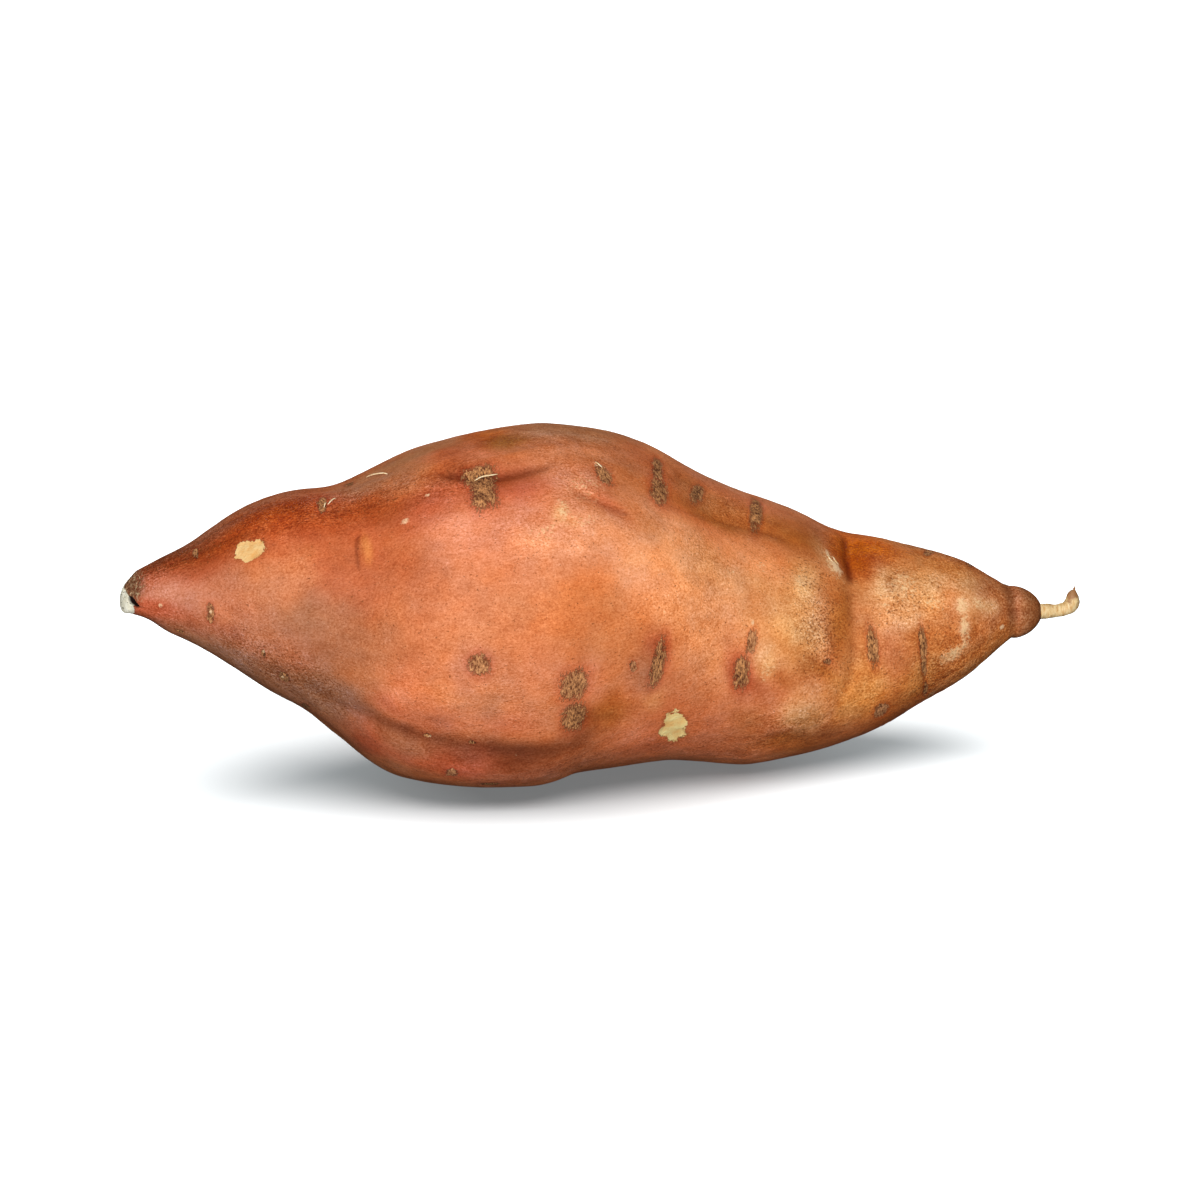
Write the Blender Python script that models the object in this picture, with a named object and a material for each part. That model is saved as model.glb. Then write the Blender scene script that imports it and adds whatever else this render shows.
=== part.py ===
"""Sweet potato: one swollen root lying on a surface, with its thick rootlet still on the end.

The root lies along X: stem end at -X, root end and rootlet at +X. Z is up and the surface
it rests on is at z = 0. The origin is under the middle of the whole object.
"""

import math

import bmesh
import bpy
import numpy as np
from mathutils import Vector

MM = 0.001

# Driving dimensions, in millimetres.
BODY_LENGTH = 190.0
STEM_END_ROUNDING = 2.6
ROOT_END_ROUNDING = 5.5
REST_PRESS = 0.25  # how far the skin flattens where it rests
END_CROWDING = 0.45  # 0 spaces the rings evenly, 1 as on a sphere
RINGS = 56
SEGMENTS = 64

# Distance from the stem end, height of the centre line, half of the height there.
STATIONS = (
    (0.0, 41.6, 4.1),
    (8.0, 42.5, 7.1),
    (14.0, 42.1, 9.6),
    (21.0, 42.2, 14.0),
    (28.0, 41.5, 18.3),
    (36.0, 40.2, 21.9),
    (45.0, 36.7, 26.0),
    (54.0, 35.0, 31.2),
    (64.0, 35.5, 34.5),
    (76.0, 36.2, 36.3),
    (84.0, 36.5, 36.8),
    (91.0, 37.4, 35.6),
    (101.0, 36.5, 34.2),
    (110.0, 34.8, 32.2),
    (119.0, 31.2, 29.9),
    (129.0, 27.8, 28.1),
    (140.0, 26.4, 25.1),
    (149.5, 24.7, 21.3),
    (157.0, 25.5, 19.3),
    (166.0, 27.0, 15.7),
    (175.0, 28.0, 12.0),
    (181.0, 28.7, 7.5),
    (185.0, 29.0, 5.1),
    (190.0, 29.2, 4.9),
)

# Distance from the stem end, sideways place of the centre line.
SIDEWAYS = (
    (0.0, -2.0),
    (30.0, -3.0),
    (65.0, -4.0),
    (85.0, -3.6),
    (105.0, 0.0),
    (127.0, 4.4),
    (145.0, 4.4),
    (166.0, 3.0),
    (190.0, 1.0),
)

# Distance from the stem end, width of the section over its height.
ROUNDNESS = (
    (0.0, 1.0),
    (40.0, 1.02),
    (85.0, 0.98),
    (125.0, 1.03),
    (160.0, 1.0),
    (190.0, 1.0),
)

# Soft lumps and hollows: distance from the stem end, angle round the root (0 faces -Y,
# 90 is the top), height, reach along the root, reach round it in degrees.
LUMPS = (
    (72.0, 310.0, 1.5, 17.0, 16.0),
    (62.0, 333.0, -1.3, 20.0, 11.0),
    (95.0, 342.0, -1.1, 9.0, 14.0),
    (100.0, 30.0, 0.9, 15.0, 20.0),
    (103.0, 55.0, -0.9, 9.0, 10.0),
    (128.0, 330.0, 0.8, 16.0, 22.0),
    (132.0, 48.0, -0.7, 14.0, 12.0),
    (148.0, 60.0, -1.0, 4.0, 24.0),
    (150.0, 20.0, -0.8, 9.0, 14.0),
    (48.0, 40.0, -0.8, 12.0, 18.0),
    (45.0, 150.0, 1.4, 16.0, 24.0),
    (70.0, 205.0, -1.6, 15.0, 22.0),
    (98.0, 170.0, 1.5, 18.0, 26.0),
    (112.0, 215.0, 1.2, 14.0, 24.0),
    (138.0, 190.0, -1.3, 10.0, 24.0),
    (160.0, 160.0, 0.9, 10.0, 26.0),
)

# Rootlet: path from inside the root end, as distance, height and radius.
ROOTLET_PATH = (
    (186.0, 28.8, 1.7),
    (190.5, 28.7, 1.45),
    (193.5, 28.7, 1.25),
    (195.5, 29.1, 1.25),
    (196.4, 30.3, 1.4),
    (196.5, 31.7, 1.3),
    (196.3, 33.0, 1.0),
)
ROOTLET_SIDEWAYS = 1.0

ROOT_COLOUR = (0.50, 0.25, 0.13, 1.0)
ROOT_ROUGHNESS = 0.6


def curve_through(points):
    """A smooth curve through (place, value) points that never overshoots between them."""
    places = np.array([point[0] for point in points])
    values = np.array([point[1] for point in points])
    steps = np.diff(places)
    slopes = np.diff(values) / steps
    tangents = np.zeros(len(points))
    for i in range(1, len(points) - 1):
        before = slopes[i - 1]
        after = slopes[i]
        if before * after > 0:
            tangents[i] = 2 * before * after / (before + after)
    tangents[0] = slopes[0]
    tangents[-1] = slopes[-1]

    def value_at(place):
        i = int(np.clip(np.searchsorted(places, place) - 1, 0, len(steps) - 1))
        t = (place - places[i]) / steps[i]
        start = values[i] * (2 * t**3 - 3 * t**2 + 1)
        start += tangents[i] * steps[i] * (t**3 - 2 * t**2 + t)
        end = values[i + 1] * (3 * t**2 - 2 * t**3)
        end += tangents[i + 1] * steps[i] * (t**3 - t**2)
        return start + end

    return value_at


centre_height = curve_through([(place, height) for place, height, _ in STATIONS])
half_height = curve_through([(place, half) for place, _, half in STATIONS])
sideways = curve_through(SIDEWAYS)
roundness = curve_through(ROUNDNESS)


def end_rounding(place):
    """Closes the section to a point at both ends, as a quarter ellipse does."""
    from_stem = min(place / STEM_END_ROUNDING, 1.0)
    from_root = min((BODY_LENGTH - place) / ROOT_END_ROUNDING, 1.0)
    return math.sqrt(1 - (1 - from_stem) ** 2) * math.sqrt(1 - (1 - from_root) ** 2)


def lump_height(place, angle):
    """Height of all the lumps and hollows together at one spot of the skin."""
    height = 0.0
    for at_place, at_angle, lump, reach_along, reach_round in LUMPS:
        turn = (angle - at_angle + 180.0) % 360.0 - 180.0
        along = (place - at_place) / reach_along
        height += lump * math.exp(-(along**2) - (turn / reach_round) ** 2)
    return height


def skin_point(place, angle):
    """The skin at a distance from the stem end and an angle in degrees round the root."""
    closing = end_rounding(place)
    lump = lump_height(place, angle) * closing
    high = half_height(place) * closing + lump
    wide = half_height(place) * roundness(place) * closing + lump
    y = sideways(place) - wide * math.cos(math.radians(angle))
    z = centre_height(place) + high * math.sin(math.radians(angle)) - REST_PRESS
    return Vector((place, y, max(z, 0.0))) * MM


def make_body():
    """A UV sphere whose rings are laid along the root and whose vertices go to the skin."""
    bpy.ops.mesh.primitive_uv_sphere_add(segments=SEGMENTS, ring_count=RINGS)
    body = bpy.context.object
    for vertex in body.data.vertices:
        x, y, z = vertex.co.normalized()
        evenly = math.acos(max(-1.0, min(1.0, -z))) / math.pi
        as_sphere = (1 + z) / 2
        place = BODY_LENGTH * (evenly + END_CROWDING * (as_sphere - evenly))
        vertex.co = skin_point(place, math.degrees(math.atan2(y, x)))
    body.data.update()
    return body


def make_rootlet():
    """The thick rootlet as a tapering tube, turned into a closed mesh."""
    curve = bpy.data.curves.new("rootlet", "CURVE")
    curve.dimensions = "3D"
    curve.bevel_depth = MM
    curve.bevel_resolution = 3
    curve.resolution_u = 3
    curve.use_fill_caps = True
    spline = curve.splines.new("BEZIER")
    spline.bezier_points.add(len(ROOTLET_PATH) - 1)
    for point, (place, height, radius) in zip(spline.bezier_points, ROOTLET_PATH):
        point.co = Vector((place, ROOTLET_SIDEWAYS, height)) * MM
        point.radius = radius
        point.handle_left_type = "AUTO"
        point.handle_right_type = "AUTO"
    tube = bpy.data.objects.new("rootlet_tube", curve)
    bpy.context.collection.objects.link(tube)
    bpy.context.view_layer.update()
    evaluated = tube.evaluated_get(bpy.context.evaluated_depsgraph_get())
    mesh = bpy.data.meshes.new_from_object(evaluated)
    work = bmesh.new()
    work.from_mesh(mesh)
    bmesh.ops.remove_doubles(work, verts=work.verts, dist=0.001 * MM)
    bmesh.ops.recalc_face_normals(work, faces=work.faces)
    work.to_mesh(mesh)
    work.free()
    rootlet = bpy.data.objects.new("rootlet", mesh)
    rootlet.matrix_world = tube.matrix_world
    bpy.data.objects.remove(tube)
    return rootlet


def join(body, rootlet, cutters):
    """Makes the body and the rootlet one closed solid."""
    cutters.objects.link(rootlet)
    union = body.modifiers.new("rootlet", "BOOLEAN")
    union.operation = "UNION"
    union.object = rootlet
    bpy.context.view_layer.update()
    evaluated = body.evaluated_get(bpy.context.evaluated_depsgraph_get())
    joined = bpy.data.meshes.new_from_object(evaluated)
    body.modifiers.clear()
    body.data = joined
    bpy.data.objects.remove(rootlet)


def centre_on_origin(body):
    """Puts the origin under the middle of the whole object, with its lowest flat at z = 0."""
    corners = np.array([vertex.co for vertex in body.data.vertices])
    middle = (corners.min(axis=0) + corners.max(axis=0)) / 2
    shift = Vector((middle[0], middle[1], corners.min(axis=0)[2]))
    for vertex in body.data.vertices:
        vertex.co -= shift


def skin_material():
    material = bpy.data.materials.new("sweet_potato_skin")
    material.use_nodes = True
    shader = material.node_tree.nodes["Principled BSDF"]
    shader.inputs["Base Color"].default_value = ROOT_COLOUR
    shader.inputs["Roughness"].default_value = ROOT_ROUGHNESS
    shader.inputs["Metallic"].default_value = 0.0
    return material


def main():
    for thing in list(bpy.data.objects):
        bpy.data.objects.remove(thing)
    parts = bpy.data.collections.new("sweet_potato")
    cutters = bpy.data.collections.new("cutters")
    bpy.context.scene.collection.children.link(parts)
    bpy.context.scene.collection.children.link(cutters)

    body = make_body()
    body.name = "sweet_potato"
    join(body, make_rootlet(), cutters)
    centre_on_origin(body)
    body.data.materials.clear()
    body.data.materials.append(skin_material())
    for collection in list(body.users_collection):
        collection.objects.unlink(body)
    parts.objects.link(body)


main()
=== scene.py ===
"""The looks of the sweet potato: its finished skin, cut stem end, rootlet and clinging fibres.

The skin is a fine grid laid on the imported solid. A spot on it is named by its place, in
millimetres from the stem end along the root, and its angle round the root, in degrees:
0 faces -Y, 90 is the top and 270 the underside. Sizes are in millimetres.
"""

import math

import bpy
import numpy as np
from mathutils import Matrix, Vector
from mathutils.bvhtree import BVHTree


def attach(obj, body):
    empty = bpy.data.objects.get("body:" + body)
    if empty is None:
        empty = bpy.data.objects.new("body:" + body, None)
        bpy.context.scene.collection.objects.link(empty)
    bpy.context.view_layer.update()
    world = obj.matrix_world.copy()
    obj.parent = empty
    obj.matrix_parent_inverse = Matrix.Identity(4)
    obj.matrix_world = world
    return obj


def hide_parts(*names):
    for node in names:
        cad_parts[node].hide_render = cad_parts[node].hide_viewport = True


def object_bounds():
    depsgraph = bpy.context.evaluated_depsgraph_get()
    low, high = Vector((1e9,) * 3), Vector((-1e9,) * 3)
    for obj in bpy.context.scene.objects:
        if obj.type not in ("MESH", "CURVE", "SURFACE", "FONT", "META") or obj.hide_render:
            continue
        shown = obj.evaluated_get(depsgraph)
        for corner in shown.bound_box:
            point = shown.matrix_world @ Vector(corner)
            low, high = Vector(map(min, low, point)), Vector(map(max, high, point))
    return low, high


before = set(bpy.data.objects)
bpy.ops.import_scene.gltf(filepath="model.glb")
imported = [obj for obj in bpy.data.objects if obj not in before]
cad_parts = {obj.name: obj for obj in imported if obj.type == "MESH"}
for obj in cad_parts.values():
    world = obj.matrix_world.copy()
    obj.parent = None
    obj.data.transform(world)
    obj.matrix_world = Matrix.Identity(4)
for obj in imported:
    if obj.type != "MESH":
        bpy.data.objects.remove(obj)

MM = 0.001
NODE = "sweet_potato"
CAD_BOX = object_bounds()
STEM_X = CAD_BOX[0].x / MM  # where the stem end is on the X axis

BODY_LENGTH = 190.0
COLUMNS = 272  # round the root
BODY_ROWS = 324
FACE_ROWS = 22
NUB_ROWS = 16

# The blunt, slightly tilted stem end, and the round nub at the root end.
LIP = 2.3
TILT = 1.1
LEAN = 1.2
NUB_LENGTH = 5.6
NUB_REACH = 6.7  # how far its dome stands out
NUB_GROOVE = (183.6, 0.7, 0.15)  # place, half width, depth
TILT_FADE = 5.0  # how soon the tilt of the stem end dies away
FACE_CURVE = 2.6  # higher powers are flatter in the middle
NUB_CURVE = 1.15  # 1 is a round dome, more is more pointed
END_SHARE = 0.004  # share of the radius left at the tip of either end

# The cut on the stem end, measured forward (to -Y) and up from the middle of the face.
CUT_DEPTH = 2.7
CUT_TOP = 0.25
CUT_SLOPE = 0.42
CUT_PIVOT = 1.9
CUT_DROP = 0.1
CUT_EDGE = 0.8
SPLIT_FORWARD = 2.95
SPLIT_HALF_WIDTH = 1.9
SPLIT_HALF_HEIGHT = 0.85
SPLIT_END = 4.4  # place where it stops
SPLIT_DEPTH = 1.3
SPLIT_SPREAD = 0.7
FIBROUS_END = 5.4  # place where the fibres above the cut stop
FIBROUS_FADE = 2.2

# The tail's crosswise wrinkles: where they start, how soon they fully show, where they
# end, and how soon they fade there.
TAIL_START = 138
TAIL_FADE = 20
TAIL_END = 184
TAIL_END_FADE = 4
OUTSIDE = -0.8  # what a patch reads well outside it

# Height of the small marks above or below the skin.
CORK_RISE = 0.04
CORK_ROUGHNESS = 0.14
CORK_RIM = 0.06
PEEL_DEPTH = 0.28
FLECK_RISE = 0.14

# ------------------------------------------------------------------ lumps and dents
# place, angle, height, reach along, reach round, and a slant in degrees if there is one
RELIEF = (
    (4.5, 275, -1.5, 3.6, 4.5), (3.2, 105, 0.15, 3, 4), (6, 95, -0.55, 5, 4.5),
    (60, 330, -0.5, 17, 4), (74, 313, 0.5, 14, 4.5), (64, 86, 0.35, 5, 3), (88, 68, 0.4, 8, 3),
    (112, 45, 0.3, 6, 4), (101, 352, 0.35, 3, 5), (120, 345, 0.35, 4, 5), (137, 338, 0.5, 5, 4),
    (134, 320, -0.4, 8, 3), (128, 20, 0.3, 6, 6), (74, 78, 0.7, 15, 5.5, 8),
    (71.6, 88, 0.35, 2.2, 2.5), (79, 92, 0.35, 3, 2.5), (75, 61, -0.5, 9, 3),
    (85.5, 340, -0.35, 4.5, 9), (72, 340, -0.3, 5, 4), (146, 50, 0.45, 2.5, 5),
    (153, 76, -0.45, 4, 9), (140, 5, -0.4, 6, 7, 35), (122, 60, -0.4, 12, 3, 6),
    (94, 47, -0.35, 7, 2.4, -38), (60, 120, 0.5, 14, 9), (88, 205, -0.6, 12, 8, 12),
    (120, 150, 0.5, 12, 8), (150, 230, -0.5, 5, 10), (50, 250, 0.5, 10, 6), (74, 284, -0.9, 16, 7),
    (41, 284, -0.8, 6, 5), (50, 98, -0.5, 9, 7), (151, 98, 0.6, 9, 8),
)

# Folds: depth (negative is a ridge), half width, how dark (painted shade along the fold), then
# (place, angle) points.
FOLDS = (
    (0.65, 1.5, 0.7,
     ((61.5, 73.5), (65.4, 68.6), (68.5, 66), (74.3, 63.5), (82, 63.7), (88, 66))),
    (-0.45, 1.3, 0, ((70, 69.5), (75, 70.5), (80, 71.5), (88, 74.5))),
    (0.35, 1.2, 0.55, ((88, 53), (92, 49.5), (96.5, 46), (101.5, 42.5))),
    (0.3, 1.3, 0.35, ((107, 51), (116, 53), (124, 58), (131, 61), (139, 58.5))),
    (0.85, 1.1, 1, ((150.5, 92), (149.6, 78), (149, 66), (149, 54), (148.5, 44))),
    (0.35, 1.6, 0.4, ((148.5, 46), (148, 30), (147.8, 12), (147, -8), (144.5, -22))),
    (-0.28, 0.8, 0, ((46.6, 32), (46.7, 41), (46.9, 50))),
    (0.2, 0.6, 1, ((45.3, 33), (45.4, 41), (45.8, 49), (46.8, 53))),
    (0.3, 2, 0.45, ((33, -36), (42, -36), (50, -32), (60, -33.5), (73, -36.5), (87, -38.5))),
    (0.22, 0.7, 1, ((163.2, 12), (163, 0), (163.3, -15), (164, -32), (165.2, -52))),
    (0.25, 1.2, 0.3, ((88, -27), (93, -29), (99, -31))),
    (0.22, 0.8, 0.4, ((8, 62), (14, 66), (22, 64), (30, 60))),
    (0.16, 0.6, 0.45, ((12, 84), (22, 86), (34, 82))),
    (0.15, 2, 0.15, ((40, 62), (50, 60), (60, 64))),
    (0.5, 1.3, 0.6, ((62, 205), (72, 200), (83, 203), (92, 210))),
    (0.6, 1.2, 0.7, ((146.5, 140), (147.5, 160), (147, 180), (148.5, 205), (148, 230))),
    (0.35, 1.1, 0.5, ((100, 132), (110, 128), (120, 131), (128, 128))),
    (0.35, 1.4, 0.5, ((30, 240), (42, 236), (56, 240), (68, 238))),
    (0.25, 0.8, 0.4, ((18, 120), (28, 124), (40, 121))),
)

# Corky scars: place, angle, half length along, half width round, slant, squareness, depth of tone.
SCARS = (
    (71, 65.8, 3.2, 2.1, 0, 3.8, 1), (71.2, 57.8, 2.5, 4.6, 0, 4, 0.9),
    (40.5, 74, 0.9, 3.2, -12, 2, 0.8), (96.4, 60, 1.5, 2.6, 20, 2, 0.8),
    (95.6, 63, 0.8, 1.2, 0, 2, 0.6), (108.1, 58, 1.7, 4, -10, 2.3, 0.9),
    (109, 70, 1.1, 5.2, -10, 2, 0.8), (117.3, 67, 1.1, 4.6, -22, 2, 0.9),
    (130.5, 74, 1.3, 6.8, -12, 2, 1), (167.3, 85, 0.8, 2.4, -25, 2, 0.6),
    (176, 88, 0.6, 1.5, 0, 2, 0.7), (67.3, -2, 2, 2.5, 25, 2, 0.5),
    (86.8, -13.2, 2.8, 3.3, 0, 2.8, 0.7), (87.3, -26, 2.4, 3.3, 0, 2.6, 0.9),
    (104.8, -7.5, 1.4, 5.2, -10, 2, 0.9), (99.3, -8.5, 0.7, 1.2, 0, 2, 0.2),
    (125.4, 7.5, 1, 2.6, -14, 2, 0.4), (123.2, -6.5, 1.7, 3.5, -8, 2, 1),
    (152.2, 8, 1.1, 4, 6, 2.2, 1), (163.1, 3, 0.8, 3.4, 4, 2, 1), (163.6, -14, 0.6, 2.8, 6, 2, 1),
    (164.6, -37, 0.5, 3, 6, 2, 0.9), (71.8, -54.6, 2.2, 1.1, 0, 2, 1),
    (63.5, -48, 1.3, 1.4, 0, 2, 0.2), (67.1, -34, 0.8, 0.6, 0, 2, 1),
    (154.7, -37, 1.5, 2.2, 10, 2, 0.3), (142.2, 0.8, 0.9, 0.45, 15, 2, 0.9),
    (17, -7, 0.7, 1.8, 0, 2, 0.6), (15.2, 68.5, 0.5, 1.5, 0, 2, 0.8), (27, -27, 0.45, 1.4, 8, 2, 0.8),
    (36.2, -62, 0.9, 1.8, 0, 2, 1), (31, -40, 0.9, 1.5, 10, 2, 0.7), (11.5, -48, 0.8, 0.5, 0, 2, 1),
    (47.4, 96, 1, 1.4, 0, 2, 1), (58, -33, 0.8, 0.5, 0, 2, 0.9), (53, 150, 1.2, 4.4, 8, 2.2, 0.8),
    (79, 186, 2.2, 3.2, 0, 2.6, 0.9), (97, 143, 1.1, 5, -10, 2, 0.8), (118, 200, 1.7, 3.8, 6, 2, 0.9),
    (139.5, 168, 1.1, 4.6, -8, 2, 0.8), (61, 236, 1.5, 2.8, 0, 2, 0.7),
    (100.5, 246, 1.1, 4, 10, 2, 0.8), (157, 222, 1, 3.4, 0, 2, 0.9), (31, 205, 0.7, 2.2, 0, 2, 0.8),
    (127, 118, 1.1, 3.8, -12, 2, 0.8), (84, 108, 1.4, 2.2, 0, 2, 0.7),
    (168, 150, 0.7, 2.4, 0, 2, 0.8),
)

# Spots where the skin is gone and pale flesh shows, as for scars.
PEELED = (
    (25, 47.5, 2.9, 2.1, 0, 3.2, 0.2), (25.2, 43, 1.9, 1.4, 0, 2.5, 0.2),
    (109.6, -34.8, 2.5, 4.6, 10, 2.6, 1), (107.4, -37, 1.2, 1.6, 0, 2, 1),
    (66, 168, 2.2, 1.5, 20, 2.4, 0),
)

# Small pale flecks and scuffs, as for scars.
FLECKS = (
    (7.6, -4, 0.45, 0.5, 0, 2, 0), (147.2, 51, 0.5, 0.5, 0, 2, 0), (144.6, 61, 0.5, 1.8, 0, 2, 0),
    (145.9, 53.4, 1.1, 2, 12, 2, 0), (58.5, -33.5, 0.5, 0.4, 0, 2, 0),
    (55.2, 53.5, 0.9, 0.7, 0, 2, 0), (60.2, 62, 0.5, 0.7, 0, 2, 0), (95, 64.5, 0.5, 0.7, 0, 2, 0),
    (122.4, 32.8, 0.4, 0.4, 0, 2, 0), (181.2, -6, 0.6, 0.7, 0, 2, 0), (27, -24.5, 0.35, 0.5, 0, 2, 0),
    (30.8, -39.6, 0.35, 0.5, 0, 2, 0), (16.9, -5, 0.3, 0.6, 0, 2, 0), (125.5, 15, 0.5, 0.9, 0, 2, 0),
    (90, 150, 0.6, 0.9, 0, 2, 0), (112, 178, 0.5, 0.6, 0, 2, 0), (45, 190, 0.7, 0.5, 0, 2, 0),
    (150, 190, 0.5, 1.2, 0, 2, 0),
)


def shade(red, green, blue):
    """A colour from its three screen values, 0 to 255, as the linear light that it reflects."""
    linear = [((v / 255 + 0.055) / 1.055) ** 2.4 for v in (red, green, blue)]
    return (linear[0], linear[1], linear[2], 1.0)


BASE = shade(204, 120, 76)
PINK = shade(214, 130, 98)
PALE_PINK = shade(230, 154, 114)
PEACH = shade(247, 165, 112)
PALE = shade(226, 160, 104)
CREAM = shade(236, 186, 132)
WHITISH = shade(232, 200, 165)
ORANGE = shade(206, 116, 60)
TAN = shade(190, 110, 42)
BROWN = shade(170, 90, 28)
DULL = shade(178, 118, 80)
OLIVE = shade(156, 92, 32)
AMBER = shade(196, 93, 0)
# rust-red skin; along the upper band of the stem half it is partly painted shade
RUST_AND_SHADE = shade(160, 66, 16)
RED_BROWN = shade(132, 54, 14)
RED = shade(184, 86, 54)
CORAL = shade(222, 118, 76)
ROSE = shade(192, 121, 94)
MAUVE = shade(170, 104, 68)
# painted shade, laid along the valleys and dents of the skin
GREY = shade(158, 108, 82)
VALLEY_SHADE = shade(118, 60, 34)
NUB = shade(150, 88, 48)
NUB_DARK = shade(124, 68, 34)
EMBER = shade(180, 88, 46)
WARM = shade(226, 120, 64)
CRIMSON = shade(200, 98, 70)
VERMILION = shade(198, 84, 40)
SALMON = shade(232, 142, 102)
HONEY = shade(224, 146, 76)
DUST = shade(180, 122, 94)
NUB_PALE = shade(168, 104, 62)

# Red, green and blue weights of a last tint over the washes and of two slow drifts.
WARMTH = (1.02, 0.985, 0.91)
DEEPER = (0.09, 0.19, 0.28)
SALLOW = (0.05, 0.0, -0.09)

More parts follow.
